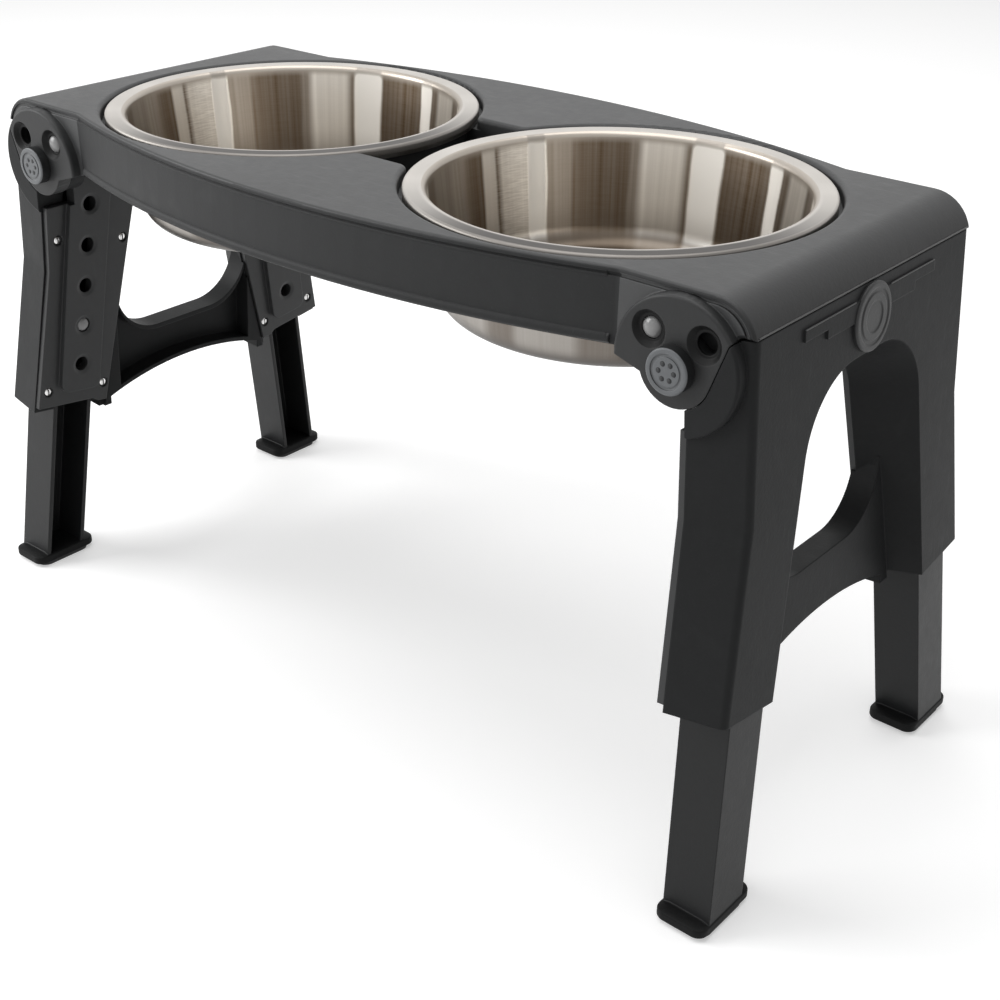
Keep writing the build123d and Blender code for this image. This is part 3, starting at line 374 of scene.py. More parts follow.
SOLE = moulded("sole_rubber", 0.060, warm=0.0, roughness=0.7, grain=0.3, specular=0.3)
CAP = moulded("cap_plastic", 0.125, warm=-0.05, roughness=0.40, grain=0.1, specular=0.4)
DIMPLE = moulded("cap_dimple", 0.040, warm=-0.04, roughness=0.45, grain=0.1, specular=0.3)
DOME = moulded("pin_plastic", 0.24, warm=0.0, roughness=0.16, grain=0.02)
SCREW = plated("screw_steel")
SLOT_SHADE = plated("screw_slot_shade", 0.10, 0.5)
SPRING = plated("spring_steel", 0.55, 0.3)
AXLE = plated("axle_steel", 0.6, 0.28)
BOWL = {side: brushed_bowl("bowl_steel_" + side, side) for side, _ in SIDES}
BOWL_OUTSIDE = {side: brushed_bowl("bowl_outside_" + side, side, 0.45) for side, _ in SIDES}
RIM = {side: rim_steel("rim_steel_" + side, side) for side, _ in SIDES}


# Pieces

# A face is in a flat region under the first angle, and a region's edge is soft under the second.
# A region is shaded flat from the first width where its edges are mostly hard, or from the second.
FLAT_COSINE = math.cos(math.radians(0.4))
SOFT_COSINE = math.cos(math.radians(14.0))
FLAT_WIDTH = 0.0024
WIDE_FLAT = 0.014
# Points closer than the first are one, and a ring slimmer than the second is a pole
JOIN_DISTANCE = 2e-6
LEAST_LENGTH = 1e-6
LEAST_AREA = 1e-12


def new_piece(name, mesh, body, slot, *materials):
    """A finished mesh as a piece on a body."""
    for material in materials:
        mesh.materials.append(material)
    piece = bpy.data.objects.new(name, mesh)
    bpy.context.scene.collection.objects.link(piece)
    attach(piece, body)
    return piece


def merged_copy(node):
    """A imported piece's mesh with its doubled points joined."""
    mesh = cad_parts[node].data.copy()
    work = bmesh.new()
    work.from_mesh(mesh)
    bmesh.ops.remove_doubles(work, verts=work.verts, dist=JOIN_DISTANCE)
    work.to_mesh(mesh)
    work.free()
    mesh.materials.clear()
    return mesh


def flat_regions(work):
    """Each face's region number, and each region's normal, or none where it isn't wide and flat."""
    number = {}
    normals = []
    for first in work.faces:
        if first.index in number:
            continue
        region, queue = [], [first]
        number[first.index] = len(normals)
        while queue:
            face = queue.pop()
            region.append(face)
            for edge in face.edges:
                for other in edge.link_faces:
                    if other.index not in number and other.normal.dot(first.normal) > FLAT_COSINE:
                        number[other.index] = len(normals)
                        queue.append(other)
        own = set(face.index for face in region)
        rim, soft = 0.0, 0.0
        for face in region:
            for edge in face.edges:
                over = [other for other in edge.link_faces if other.index not in own]
                if over or len(edge.link_faces) == 1:
                    rim += edge.calc_length()
                if over and over[0].normal.dot(first.normal) > SOFT_COSINE:
                    soft += edge.calc_length()
        area = sum(face.calc_area() for face in region)
        points = [corner.co for face in region for corner in face.verts]
        spans = [max(p[axis] for p in points) - min(p[axis] for p in points) for axis in range(3)]
        width = area / max(*spans, LEAST_LENGTH)
        wide = width > WIDE_FLAT or (width > FLAT_WIDTH and soft < 0.5 * rim)
        total = sum((face.normal * face.calc_area() for face in region), Vector())
        normals.append(total.normalized() if wide and total.length > 0 else None)
    return number, normals


def even_shading(mesh, sharp=30.0):
    """The mesh with smooth curves, its wide flat regions shaded flat up to their edges."""
    work = bmesh.new()
    work.from_mesh(mesh)
    work.faces.ensure_lookup_table()
    work.normal_update()
    number, normals = flat_regions(work)
    least = math.cos(math.radians(sharp))
    corners = []
    for face in work.faces:
        own = normals[number[face.index]]
        for loop in face.loops:
            if own is not None:
                corners.append(own)
                continue
            around = loop.vert.link_faces
            near = [other for other in around if other.normal.dot(face.normal) > least]
            flats = [normals[number[other.index]] for other in near]
            flats = [normal for normal in flats if normal is not None]
            if flats:
                corners.append(max(flats, key=face.normal.dot))
                continue
            weighed = (other.normal * max(other.calc_area(), LEAST_AREA) for other in near)
            total = sum(weighed, Vector())
            corners.append(total.normalized() if total.length > 0 else face.normal.copy())
    work.free()
    mesh.shade_smooth()
    mesh.normals_split_custom_set([tuple(normal) for normal in corners])
    return mesh


def set_off(node, body, slot, *materials):
    """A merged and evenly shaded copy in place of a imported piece."""
    mesh = even_shading(merged_copy(node))
    piece = new_piece("shown_" + node, mesh, body, slot, *materials)
    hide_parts(node)
    return piece


def made(name, work):
    """A finished bmesh as a new mesh."""
    mesh = bpy.data.meshes.new(name)
    work.to_mesh(mesh)
    work.free()
    return mesh


def skin(work, rings):
    """Faces between closed rings of points, one after another; a ring of one point is a pole."""
    for first, second in zip(rings, rings[1:]):
        count = max(len(first), len(second))
        for step in range(count if count > 1 else 0):
            after = (step + 1) % count
            corners = [first[step % len(first)], first[after % len(first)]]
            corners += [second[after % len(second)], second[step % len(second)]]
            work.faces.new(list(dict.fromkeys(corners)))


def lathe(name, profile, segments, centre_x=0.0):
    """A mesh turned about an upright axis from (radius, height) pairs."""
    work = bmesh.new()
    rings = []
    for radius, height in profile:
        ring = []
        for step in range(segments if radius > LEAST_LENGTH else 1):
            turn = math.tau * step / segments
            x, y = centre_x + radius * math.cos(turn), radius * math.sin(turn)
            ring.append(work.verts.new((x, y, height)))
        rings.append(ring)
    skin(work, rings)
    bmesh.ops.recalc_face_normals(work, faces=work.faces)
    mesh = made(name, work)
    mesh.shade_smooth()
    return mesh


def arc(centre_r, centre_z, radius, start, stop, steps):
    """Points of an arc in the radius and height plane, in degrees."""
    points = []
    for step in range(steps + 1):
        turn = math.radians(start + (stop - start) * step / steps)
        points.append((centre_r + radius * math.cos(turn), centre_z + radius * math.sin(turn)))
    return points


def placed(mesh, place, axis):
    """The mesh moved so that its own +Z lies along an axis at a place."""
    turn = Vector(axis).to_track_quat("Z", "Y").to_matrix().to_4x4()
    mesh.transform(Matrix.Translation(place) @ turn)
    return mesh


def frame_point(sx, sy, y, down, depth):
    """A point of a leg frame from its place on the outer face and its depth."""
    x = -depth * math.cos(FRAME_LEAN) + down * math.sin(FRAME_LEAN)
    z = -depth * math.sin(FRAME_LEAN) - down * math.cos(FRAME_LEAN)
    return Vector((sx * (SEAM.x + x), sy * y, SEAM.z + z))


def frame_inward(sx):
    """Direction square to a leg frame's face, towards the middle."""
    return Vector((-sx * math.cos(FRAME_LEAN), 0.0, -math.sin(FRAME_LEAN)))


# Bowls: reach of the floor, its round corner, two points of the wall over the base, and the rim
FLOOR_REACH = 0.0765
CORNER_CENTRE = 0.0805
CORNER_RADIUS = 0.0130
WALL_POINTS = ((0.0950, 0.030), (0.0972, 0.048))
ROLL_CENTRE = 0.1020
ROLL_RADIUS = 0.0034
RIM_FLAT = (0.1045, 0.1080)
RIM_UNDERSIDE = (0.1090, 0.1040)
LIP_RADIUS = 0.0018
LIP_DROP = 0.0040
LIP_INSIDE = 0.0016
SEAT_GAP = 0.0003
RIM_INSIDE = 0.1012
RIM_DEPTH = 0.003


def bowl_profile():
    """Inner surface from the middle of the floor out to the rim, and back outside."""
    base = DECK_TOP - BOWL_DEPTH
    floor = base + STEEL
    lip = RIM_RADIUS - LIP_RADIUS
    edge = RIM_RADIUS - STEEL
    profile = [(reach, floor) for reach in (0.0, 0.03, 0.06, FLOOR_REACH)]
    profile += arc(CORNER_CENTRE, floor + CORNER_RADIUS, CORNER_RADIUS, -88, -4, 14)
    profile += [(reach, base + height) for reach, height in WALL_POINTS]
    profile += arc(ROLL_CENTRE, RIM_TOP - ROLL_RADIUS, ROLL_RADIUS, 178, 95, 8)
    profile += [(reach, RIM_TOP) for reach in RIM_FLAT]
    profile += arc(lip, RIM_TOP - LIP_RADIUS, LIP_RADIUS, 88, 0, 6)
    profile += [(RIM_RADIUS, RIM_TOP - LIP_DROP), (RIM_RADIUS, RECESS_FLOOR + SEAT_GAP)]
    profile += [(edge, RECESS_FLOOR + SEAT_GAP), (edge, RIM_TOP - LIP_INSIDE)]
    profile += [(reach, RIM_TOP - STEEL) for reach in RIM_UNDERSIDE]
    profile += arc(ROLL_CENTRE, RIM_TOP - ROLL_RADIUS, ROLL_RADIUS - STEEL, 100, 178, 6)
    profile += [(reach + STEEL, base + height) for reach, height in reversed(WALL_POINTS)]
    profile += arc(CORNER_CENTRE, floor + CORNER_RADIUS, CORNER_RADIUS + STEEL, -4, -88, 14)
    profile += [(reach, base) for reach in (FLOOR_REACH, 0.03, 0.0)]
    return profile


def build_bowls():
    """The bowls in finer facets, with their walls, rims and outsides in finishes of their own."""
    for side, sx in SIDES:
        middle = sx * BOWL_X
        mesh = lathe("bowl_shell_" + side, bowl_profile(), segments=256, centre_x=middle)
        finishes = (BOWL[side], RIM[side], BOWL_OUTSIDE[side])
        piece = new_piece("bowl_shell_" + side, mesh, "bowl_" + side, "bowl_steel", *finishes)
        for face in mesh.polygons:
            off = face.center.x - middle
            outward = face.normal.x * off + face.normal.y * face.center.y
            on_rim = math.hypot(off, face.center.y) > RIM_INSIDE
            if on_rim and face.center.z > RIM_TOP - RIM_DEPTH:
                face.material_index = 1
            elif outward > 0 or face.normal.z < -0.5:
                face.material_index = 2
        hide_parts("bowl_" + side)


# Shells

DECK_FINISHES = (DECK, BOSS, LIT_EAR, SKIRT, DISH_SHADE)
FACE_SLACK = 0.0001
# How much of a face's normal lies along the depth: on a flat of the ears, on a skirt, and at
# most on the side of a cap
ON_EAR = 0.999
ON_SKIRT = 0.8
ON_CAP_SIDE = 0.3


def deck_finish(face):
    """The deck's finish at a face: its top, a hub's boss, a dish in painted shade, an ear's flat in
    painted light, or a skirt.
    """
    across = abs(face.center.x) - HINGE.x
    up = face.center.z - HINGE.z
    depth = abs(face.center.y)
    facing = abs(face.normal.y)
    from_hinge = math.hypot(across, up)
    if depth > BOSS_FACE - BOSS_HEIGHT and from_hinge < BOSS_RADIUS:
        along = math.sqrt(0.5) * PIN_ORBIT
        in_dish = math.hypot(abs(across) - along, up - along) < DISH_RADIUS
        # The dishes round the pin holes take a near-black copy of the plastic: painted shade
        return DISH_SHADE if in_dish and depth < BOSS_FACE - FACE_SLACK else BOSS
    by_ear = depth > EAR_PLANE and from_hinge < EAR_REACH and face.center.z > EAR_FOOT
    # The ears' flats take a lighter copy of the deck plastic: painted light
    if facing > ON_EAR and by_ear:
        return LIT_EAR
    return SKIRT if facing > ON_SKIRT else DECK


def build_shells():
    """The moulded pieces, set off with smooth curves."""
    deck = set_off("deck", "deck", "deck_plastic", *DECK_FINISHES)
    for face in deck.data.polygons:
        face.material_index = DECK_FINISHES.index(deck_finish(face))
    for side, _ in SIDES:
        set_off("leg_frame_" + side, "frame_" + side, "frame_plastic", FRAME)
        for end, _ in ENDS:
            where = end + "_" + side
            set_off("leg_cover_" + where, "frame_" + side, "cover_plastic", COVER)
            set_off("foot_sole_" + where, "leg_" + where, "sole_rubber", SOLE)
            cap = set_off("hinge_cap_" + where, "deck", "cap_plastic", CAP, CAP_SIDE_SHADE)
            # The caps' sides take a darker copy of the cap plastic: painted shade
            for face in cap.data.polygons:
                face.material_index = 1 if abs(face.normal.y) < ON_CAP_SIDE else 0


# Trim: the grooves and beads of the bowed skirts, the medallions and the painted highlights on
# edges

GROOVE_HALF = 0.1905
# The groove's section: outward from the skirt, and below the deck's top
GROOVE_SECTION = (
    (0.00004, 0.0019),
    (0.00006, 0.0025),
    (-0.0008, 0.0029),
    (-0.0008, 0.0036),
    (0.00008, 0.0042),
    (0.00006, 0.0050),
    (-0.0012, 0.0050),
    (-0.0012, 0.0019),
)
BEAD_HALF = 0.1915
BEAD_HEIGHT = 0.28615
BEAD_RADIUS = 0.00275
BEAD_SINK = 0.00118
BEAD_SIDES = 20
# A medallion's turned section: radius, and height over its boss
MEDALLION_SECTION = (
    (0.0, 0.00165),
    (0.0076, 0.00165),
    (0.0079, 0.00208),
    (0.01155, 0.00208),
    (0.0118, 0.00165),
    (0.0137, 0.00165),
    (0.01395, 0.00208),
    (0.0159, 0.00208),
    (0.0165, 0.0018),
    (0.01704, 0.0014),
    (0.01706, 0.0006),
    (0.01706, -0.0004),
    (0.0, -0.0004),
)
SEAM_LINE_X = 0.2668
SEAM_LINE_HALF = 0.0985
SEAM_LINE_LIFT = 0.0006
SEAM_LINE_RADIUS = 0.0004
BAR_LINE_SPAN = (0.0168, 0.0615)
BAR_LINE_LIFT = 0.0008
BAR_LINE_RADIUS = 0.00035


def bow_strip(name, section, half_length, sy, steps=180):
    """A closed section of (outward, height) pairs carried along a bowed skirt."""
    work = bmesh.new()
    rings = []
    spread = math.asin(half_length / BOW_RADIUS)
    for step in range(steps + 1):
        turn = -spread + 2 * spread * step / steps
        ring = []
        for outward, height in section:
            reach = BOW_RADIUS + outward
            y = sy * (BOW_CENTRE + reach * math.cos(turn))
            ring.append(work.verts.new((reach * math.sin(turn), y, height)))
        rings.append(ring)
    skin(work, rings)
    work.faces.new(rings[0])
    work.faces.new(rings[-1])
    bmesh.ops.recalc_face_normals(work, faces=work.faces)
    return even_shading(made(name, work))


def build_trim():
    """The bead at the foot of each bowed skirt and the fine groove under its top edge."""
    groove = [(outward, DECK_TOP - below) for outward, below in GROOVE_SECTION]
    bead = []
    for step in range(BEAD_SIDES):
        turn = math.tau * step / BEAD_SIDES
        outward = BEAD_RADIUS * math.cos(turn) - BEAD_SINK
        bead.append((outward, BEAD_HEIGHT + BEAD_RADIUS * math.sin(turn)))
    for end, sy in ENDS:
        strip = bow_strip("groove", groove, GROOVE_HALF, sy)
        new_piece("edge_groove_" + end, strip, "deck", "deck_plastic", SKIRT)
        strip = bow_strip("bead", bead, BEAD_HALF, sy)
        new_piece("skirt_bead_" + end, strip, "deck", "deck_plastic", SKIRT)


def build_medallions():
    """Plain turned rings on the round bosses of both end beams."""
    for side, sx in SIDES:
        middle = frame_point(sx, 1, 0.0, MEDALLION_DROP, 0.0)
        turned = lathe("medallion", MEDALLION_SECTION, segments=96)
        mesh = even_shading(placed(turned, middle, -frame_inward(sx)))
        new_piece("medallion_rings_" + side, mesh, "frame_" + side, "frame_plastic", MEDALLION)


def edge_line(name, start, end, radius, body, slot):
    """A slim rounded line of painted highlight along an edge, between two points."""
    way = end - start
    work = bmesh.new()
    sizes = {"segments": 8, "radius1": radius, "radius2": radius, "depth": way.length}
    bmesh.ops.create_cone(work, cap_ends=True, **sizes)
    mesh = placed(made(name, work), (start + end) / 2, way)
    new_piece(name, even_shading(mesh, 60.0), body, slot, EDGE_HIGHLIGHT)


def build_edge_lines():
    """Pale lines of painted highlight along the deck's ends and the bars on the end beams."""
    for side, sx in SIDES:
        ends = []
        for _, sy in ENDS:
            place = (sx * SEAM_LINE_X, sy * SEAM_LINE_HALF, SEAM.z + SEAM_LINE_LIFT)
            ends.append(Vector(place))
        edge_line("seam_edge_" + side, *ends, SEAM_LINE_RADIUS, "deck", "deck_plastic")
        for end, sy in ENDS:
            name = "bar_edge_" + end + "_" + side
            ends = [frame_point(sx, sy, y, BAR_DROP, -BAR_LINE_LIFT) for y in BAR_LINE_SPAN]
            edge_line(name, *ends, BAR_LINE_RADIUS, "frame_" + side, "frame_plastic")


# Feet

FOOT_TOP = 0.0088
FOOT_CORNER = 0.0060
# The foot's levels: height, and how far its plan is drawn in
FOOT_LEVELS = (
    (0.0022, 0.0012),
    (0.0026, 0.0004),
    (0.0034, 0.0),
    (0.0068, 0.0),
    (0.0074, 0.0002),
    (0.0078, 0.0008),
    (0.0081, 0.0022),
    (FOOT_TOP, 0.0052),
)
FOOT_SLACK = 0.0002
LEG_CUT = CAD_FOOT_TOP + 0.0006
LEG_SINK = 0.0012
LEG_ORDER = Vector((0.37, 0.11, 1.0))


def leg_down(sx, sy):
    """Direction of a leg, from its top to its foot."""
    x = math.sin(FRAME_LEAN) * math.cos(LEG_LEAN)
    z = -math.cos(FRAME_LEAN) * math.cos(LEG_LEAN)
    return Vector((sx * x, sy * math.sin(LEG_LEAN), z))


def rounded_plan(width, length, radius, steps=8):
    """Plan points of a rounded rectangle, anticlockwise."""
    points = []
    for corner_x, corner_y, start in ((1, 1, 0), (-1, 1, 90), (-1, -1, 180), (1, -1, 270)):
        centre_x = corner_x * (width / 2 - radius)
        centre_y = corner_y * (length / 2 - radius)
        for step in range(steps + 1):
            turn = math.radians(start + 90 * step / steps)
            points.append((centre_x + radius * math.cos(turn), centre_y + radius * math.sin(turn)))
    return points


def foot_shape(work, sx, sy):
    """Foot pad: upright edge, softened brim, and a top that rises to the leg."""
    rings = []
    for height, inset in FOOT_LEVELS:
        corner = FOOT_CORNER - inset * 0.6
        plan = rounded_plan(FOOT_WIDTH - 2 * inset, FOOT_LENGTH - 2 * inset, corner)
        places = [(sx * FOOT_PLACE.x + x, sy * FOOT_PLACE.y + y, height) for x, y in plan]
        rings.append([work.verts.new(place) for place in places])
    skin(work, rings)
    work.faces.new(rings[-1])
    work.faces.new(list(reversed(rings[0])))


def build_inner_legs():
    """Telescoping legs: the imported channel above, its foot remade below."""
    for where, sx, sy in CORNERS:
        mesh = merged_copy("inner_leg_" + where)
        work = bmesh.new()
        work.from_mesh(mesh)
        whole = work.verts[:] + work.edges[:] + work.faces[:]
        plane = {"plane_co": (0.0, 0.0, LEG_CUT), "plane_no": (0, 0, 1)}
        bmesh.ops.bisect_plane(work, geom=whole, clear_inner=True, **plane)
        rim = [edge for edge in work.edges if edge.is_boundary]
        grown = bmesh.ops.extrude_edge_only(work, edges=rim)["geom"]
        corners = [part for part in grown if isinstance(part, bmesh.types.BMVert)]
        down = leg_down(sx, sy)
        drop = down * ((LEG_CUT - FOOT_TOP + LEG_SINK) / -down.z)
        bmesh.ops.translate(work, verts=corners, vec=drop)
        foot_shape(work, sx, sy)
        bmesh.ops.recalc_face_normals(work, faces=work.faces)
        # The drop leaves its points and faces in an order of its own each run
        work.verts.sort(key=lambda vert: vert.co.dot(LEG_ORDER))
        work.faces.sort(key=lambda face: face.calc_center_median().dot(LEG_ORDER))
        work.to_mesh(mesh)
        work.free()
        mesh = even_shading(mesh)
        name = "leg_and_foot_" + where
        piece = new_piece(name, mesh, "leg_" + where, "leg_plastic", INNER_LEG, FOOT)
        for face in mesh.polygons:
            face.material_index = 1 if face.center.z < FOOT_TOP + FOOT_SLACK else 0
        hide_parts("inner_leg_" + where)


# Domes of the lock pins and the height buttons: radius, height and the skirt that sinks below

PIN_DOME = (PIN_HOLE - 0.0001, 0.0030, 0.0006)
PIN_TURN = math.radians(135)
PIN_INSET = 0.0006
BUTTON_DOME = (BUTTON_HOLE - 0.0003, 0.0024, 0.0004)
BUTTON_INSET = 0.0001


def dome(name, radius, height, sink):
    """A smooth dome along +Z with its tip at zero and a short skirt below."""
    profile = [(radius * x, height * z) for x, z in arc(0.0, -1.0, 1.0, 90, 0, 8)]
    profile += [(radius, -height - sink), (0.0, -height - sink)]
    return lathe(name, profile, segments=40)


def build_domes():
    """Smooth crowns on the lock pins and the height buttons."""
    for where, sx, sy in CORNERS:
        x = sx * (HINGE.x + PIN_ORBIT * math.cos(PIN_TURN))
        z = HINGE.z + PIN_ORBIT * math.sin(PIN_TURN)
        tip = Vector((x, sy * (BOSS_FACE - PIN_INSET), z))
        mesh = placed(dome("pin_dome", *PIN_DOME), tip, (0, sy, 0))
        new_piece("pin_dome_" + where, mesh, "pin_" + where, "pin_plastic", DOME)
        y = LEG_TOP_Y + BUTTON_ALONG * math.sin(LEG_LEAN)
        down = BUTTON_ALONG * math.cos(LEG_LEAN)
        tip = frame_point(sx, sy, y, down, RIB_FACE - BUTTON_INSET)
        mesh = placed(dome("button_dome", *BUTTON_DOME), tip, frame_inward(sx))
        new_piece("button_dome_" + where, mesh, "button_" + where, "pin_plastic", DOME)


# Screws and cap dimples, repeated by node trees

SCREW_HEAD = {"Head radius": 0.0027, "Head height": 0.0011, "Slot width": 0.0009}
SCREW_LIFT = 0.0004
CAP_MARKS = {"Ring radius": 0.0040, "Mark radius": 0.0013, "Marks": 6}
MARK_SINK = 0.0002


class Growth:
    """A tree of geometry nodes with named inputs."""

    def __init__(self, name):
        self.tree = bpy.data.node_groups.new(name, "GeometryNodeTree")
        kind = "NodeSocketGeometry"
        for way in ("INPUT", "OUTPUT"):
            self.tree.interface.new_socket("Geometry", in_out=way, socket_type=kind)
        self.start = self.tree.nodes.new("NodeGroupInput")
        self.stop = self.tree.nodes.new("NodeGroupOutput")
        self.keys = {}

    def size(self, name, kind="NodeSocketFloat"):
        """A named input, as a socket to link from."""
        item = self.tree.interface.new_socket(name, in_out="INPUT", socket_type=kind)
        self.keys[name] = item.identifier
        return self.start.outputs[name]

    def add(self, kind, settings=None, **links):
        """A node's first output: settings first, then its inputs by name."""
        node = self.tree.nodes.new(kind)
        for key, value in (settings or {}).items():
            setattr(node, key, value)
        for key, value in links.items():
            socket = node.inputs[key.replace("_", " ")]
            if isinstance(value, bpy.types.NodeSocket):
                self.tree.links.new(value, socket)
            else:
                socket.default_value = value
        return node.outputs[0]

    def times(self, socket, factor):
        """A socket's value times a number."""
        node = self.tree.nodes.new("ShaderNodeMath")
        node.operation = "MULTIPLY"
        self.tree.links.new(socket, node.inputs[0])
        node.inputs[1].default_value = factor
        return node.outputs[0]

    def painted(self, geometry, material):
        """A geometry with its material set."""
        return self.add("GeometryNodeSetMaterial", Geometry=geometry, Material=material)

    def on_points(self, points, shape, **named):
        """A shape on each of a set of points."""
        kind = "GeometryNodeInstanceOnPoints"
        return self.add(kind, Points=points, Instance=shape, **named)

    def finish(self, *parts):
        """Join the parts, realised, as the tree's result."""
        join = self.tree.nodes.new("GeometryNodeJoinGeometry")
        for part in parts:
            real = self.add("GeometryNodeRealizeInstances", Geometry=part)
            self.tree.links.new(real, join.inputs[0])
        self.tree.links.new(join.outputs[0], self.stop.inputs[0])

    def grown(self, name, points, values):
        """The plain mesh that the tree grows on a set of points."""
        seed = bpy.data.meshes.new(name)
        seed.from_pydata([tuple(point) for point in points], [], [])
        holder = bpy.data.objects.new(name, seed)
        bpy.context.scene.collection.objects.link(holder)
        modifier = holder.modifiers.new("grow", "NODES")
        modifier.node_group = self.tree
        for key, value in values.items():
            modifier[self.keys[key]] = value
        depsgraph = bpy.context.evaluated_depsgraph_get()
        evaluated = holder.evaluated_get(depsgraph)
        mesh = bpy.data.meshes.new_from_object(evaluated, depsgraph=depsgraph)
        holder.modifiers.remove(modifier)
        bpy.data.objects.remove(holder)
        return mesh


def screw_tree():
    """Pan heads with a dark bar of painted shade for the slot, one on each point, facing along a
    named direction.
    """
    grow = Growth("screw_heads")
    radius = grow.size("Head radius")
    height = grow.size("Head height")
    slot = grow.size("Slot width")
    facing = grow.size("Facing", "NodeSocketVector")
    turn = grow.add("FunctionNodeAlignRotationToVector", {"axis": "Z"}, Vector=facing)
    ball = grow.add("GeometryNodeMeshUVSphere", Segments=28, Rings=14, Radius=1.0)
    flat = grow.add("ShaderNodeCombineXYZ", X=radius, Y=radius, Z=height)
    head = grow.add("GeometryNodeTransform", Geometry=ball, Scale=flat)
    # The slot is a dark bar on the head: painted shade in place of a cut
    bar_size = grow.add("ShaderNodeCombineXYZ", X=grow.times(radius, 1.5), Y=slot, Z=height)
    bar = grow.add("GeometryNodeMeshCube", Size=bar_size)
    lift = grow.add("ShaderNodeCombineXYZ", Z=grow.times(height, 0.53))
    bar = grow.add("GeometryNodeTransform", Geometry=bar, Translation=lift)
    points = grow.start.outputs["Geometry"]
    heads = grow.on_points(points, grow.painted(head, SCREW), Rotation=turn)
    slots = grow.on_points(points, grow.painted(bar, SLOT_SHADE), Rotation=turn)
    grow.finish(heads, slots)
    return grow


def build_screws():
    """Cover screws, in the recesses of the covers of each frame."""
    grow = screw_tree()
    depth = COVER_FACE - SCREW_RECESS + SCREW_LIFT
    for side, sx in SIDES:
        points = [frame_point(sx, sy, *screw, depth) for _, sy in ENDS for screw in SCREWS]
        values = dict(SCREW_HEAD, Facing=tuple(frame_inward(sx)))
        mesh = grow.grown("screw_heads", points, values)
        mesh.shade_smooth()
        mesh.set_sharp_from_angle(angle=math.radians(40))
        piece = new_piece("screw_heads_" + side, mesh, "frame_" + side, "screw_steel")
        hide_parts("cover_screws_front_" + side, "cover_screws_rear_" + side)


def dimple_tree():
    """A ring of shallow round marks on each point, facing along the depth."""
    grow = Growth("cap_dimples")
    orbit = grow.size("Ring radius")
    radius = grow.size("Mark radius")
    count = grow.size("Marks", "NodeSocketInt")
    ring = grow.add("GeometryNodeMeshCircle", Vertices=count, Radius=orbit)
    quarter = (math.pi / 2, 0.0, 0.0)
    upright = grow.add("GeometryNodeTransform", Geometry=ring, Rotation=quarter)
    spots = grow.on_points(grow.start.outputs["Geometry"], upright)
    real = grow.add("GeometryNodeRealizeInstances", Geometry=spots)
    ball = grow.add("GeometryNodeMeshUVSphere", Segments=16, Rings=8, Radius=radius)
    flat = grow.add("GeometryNodeTransform", Geometry=ball, Scale=(1.0, 0.12, 1.0))
    grow.finish(grow.on_points(real, grow.painted(flat, DIMPLE)))
    return grow


def build_dimples():
    """Plain rings of round marks in the fields of the four hub caps."""
    grow = dimple_tree()
    face = CAP_FACE - MARK_SINK
    points = [(sx * HINGE.x, sy * face, HINGE.z) for _, sx, sy in CORNERS]
    mesh = grow.grown("cap_dimples", points, CAP_MARKS)
    mesh.shade_smooth()
    new_piece("cap_dimples", mesh, "deck", "cap_plastic")


def finish_small_nodes():
    """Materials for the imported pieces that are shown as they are."""
    plain = {"leg_spring": SPRING, "lock_spring": SPRING, "hinge_axle": AXLE}
    plain.update({"leg_button": DOME, "lock_pin": DOME})
    for node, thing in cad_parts.items():
        for start, material in plain.items():
            if node.startswith(start):
                thing.data.materials.clear()
                thing.data.materials.append(material)
                thing.data.shade_smooth()
                thing.data.set_sharp_from_angle(angle=math.radians(35))


# Room, lights and camera

STAGE_SIZE = 12.0
STAGE_PAINT = (0.82, 0.82, 0.82, 1.0)
# Strengths of the floor's own glow and of the world: for other light, and as the camera sees them
STAGE_GLOW = (0.0, 0.38)
WORLD_LIGHT = (0.36, 1.0)
# Lamps: name, place, aim, width, height and power
LAMPS = (
    ("window", (-1.5, -1.1, 1.05), (0.0, 0.0, 0.2), 1.2, 1.2, 26.0),
    ("overhead", (-0.2, 0.0, 2.2), (0.0, 0.0, 0.2), 2.4, 1.8, 31.0),
    ("behind", (-1.3, 1.6, 1.5), (0.0, 0.0, 0.3), 2.6, 1.6, 3.5),
)
# The photograph's camera: place, turns about the upright, the level and its own axis, and lens
CAMERA_PLACE = Vector((0.567458, -0.625653, 0.550739))
CAMERA_TURNS = (0.697, 0.497, 0.011)
CAMERA_LENS = 55.2665


def shown_white(tree, low, high):
    """A strength that is higher for what the camera, metal and glass see."""
    path = tree.nodes.new("ShaderNodeLightPath")
    seen = path.outputs["Is Camera Ray"]
    for ray in ("Is Glossy Ray", "Is Transmission Ray"):
        either = tree.nodes.new("ShaderNodeMath")
        either.operation = "MAXIMUM"
        tree.links.new(seen, either.inputs[0])
        tree.links.new(path.outputs[ray], either.inputs[1])
        seen = either.outputs[0]
    level = tree.nodes.new("ShaderNodeMapRange")
    level.inputs["To Min"].default_value = low
    level.inputs["To Max"].default_value = high
    tree.links.new(seen, level.inputs["Value"])
    return level.outputs[0]


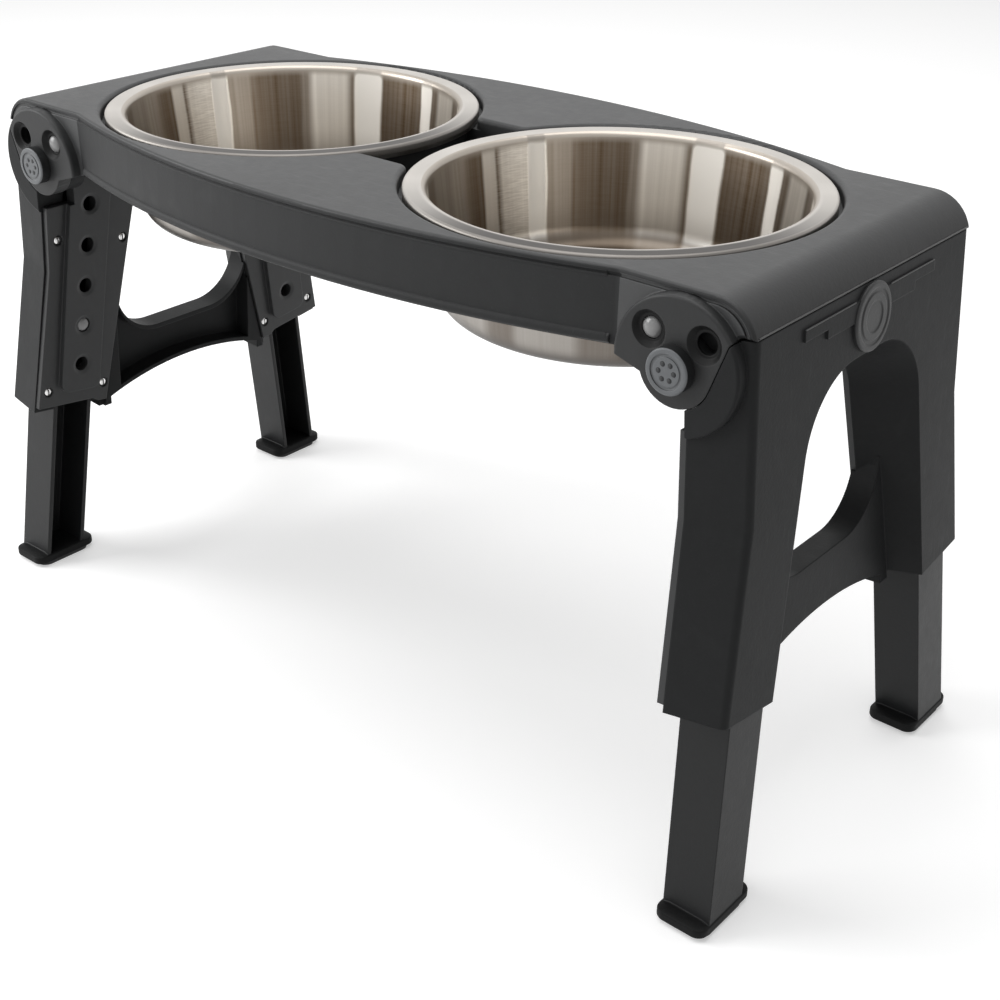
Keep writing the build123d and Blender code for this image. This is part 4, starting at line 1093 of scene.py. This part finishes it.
def build_stage():
    """A wide pale floor that shows white to the camera."""
    work = bmesh.new()
    bmesh.ops.create_grid(work, x_segments=1, y_segments=1, size=STAGE_SIZE)
    floor_mesh = made("floor", work)
    floor = bpy.data.objects.new("floor", floor_mesh)
    bpy.context.scene.collection.objects.link(floor)
    material = bpy.data.materials.new("pale_floor")
    material.use_nodes = True
    tree = material.node_tree
    tree.nodes.clear()
    out = tree.nodes.new("ShaderNodeOutputMaterial")
    paint = tree.nodes.new("ShaderNodeBsdfDiffuse")
    paint.inputs["Color"].default_value = STAGE_PAINT
    glow = tree.nodes.new("ShaderNodeEmission")
    tree.links.new(shown_white(tree, *STAGE_GLOW), glow.inputs["Strength"])
    both = tree.nodes.new("ShaderNodeAddShader")
    tree.links.new(paint.outputs[0], both.inputs[0])
    tree.links.new(glow.outputs[0], both.inputs[1])
    tree.links.new(both.outputs[0], out.inputs["Surface"])
    floor_mesh.materials.append(material)


def build_world():
    """A plain white world, dimmer for the light it gives than for what is seen of it."""
    world = bpy.data.worlds.new("studio")
    bpy.context.scene.world = world
    world.use_nodes = True
    tree = world.node_tree
    ground = tree.nodes["Background"]
    ground.inputs["Color"].default_value = (1.0, 1.0, 1.0, 1.0)
    tree.links.new(shown_white(tree, *WORLD_LIGHT), ground.inputs["Strength"])


def build_lights():
    """Area lamps from a window at the left, from overhead and from behind."""
    for name, place, aim, width, height, power in LAMPS:
        light = bpy.data.lights.new(name, "AREA")
        light.shape = "RECTANGLE"
        light.size = width
        light.size_y = height
        light.energy = power
        thing = bpy.data.objects.new(name, light)
        bpy.context.scene.collection.objects.link(thing)
        thing.location = place
        way = Vector(aim) - Vector(place)
        thing.rotation_euler = way.to_track_quat("-Z", "Y").to_euler()


def build_camera():
    """The photograph's place, direction and field of view."""
    yaw, pitch, roll = CAMERA_TURNS
    level = math.cos(pitch)
    back = Vector((math.sin(yaw) * level, -math.cos(yaw) * level, math.sin(pitch)))
    right = (-back).cross(Vector((0, 0, 1))).normalized()
    up = right.cross(-back)
    turned_right = math.cos(roll) * right + math.sin(roll) * up
    turned_up = math.cos(roll) * up - math.sin(roll) * right
    data = bpy.data.cameras.new("camera")
    data.sensor_width = 36.0
    data.lens = CAMERA_LENS
    data.clip_start, data.clip_end = 0.01, 50.0
    camera = bpy.data.objects.new("camera", data)
    bpy.context.scene.collection.objects.link(camera)
    axes = Matrix((turned_right, turned_up, back)).transposed()
    camera.matrix_world = Matrix.Translation(CAMERA_PLACE) @ axes.to_4x4()
    bpy.context.scene.camera = camera


build_bowls()
build_shells()
build_trim()
build_medallions()
build_edge_lines()
build_inner_legs()
build_domes()
build_screws()
build_dimples()
finish_small_nodes()
build_stage()
build_world()
build_lights()
build_camera()
bpy.context.scene.view_settings.view_transform = "Standard"
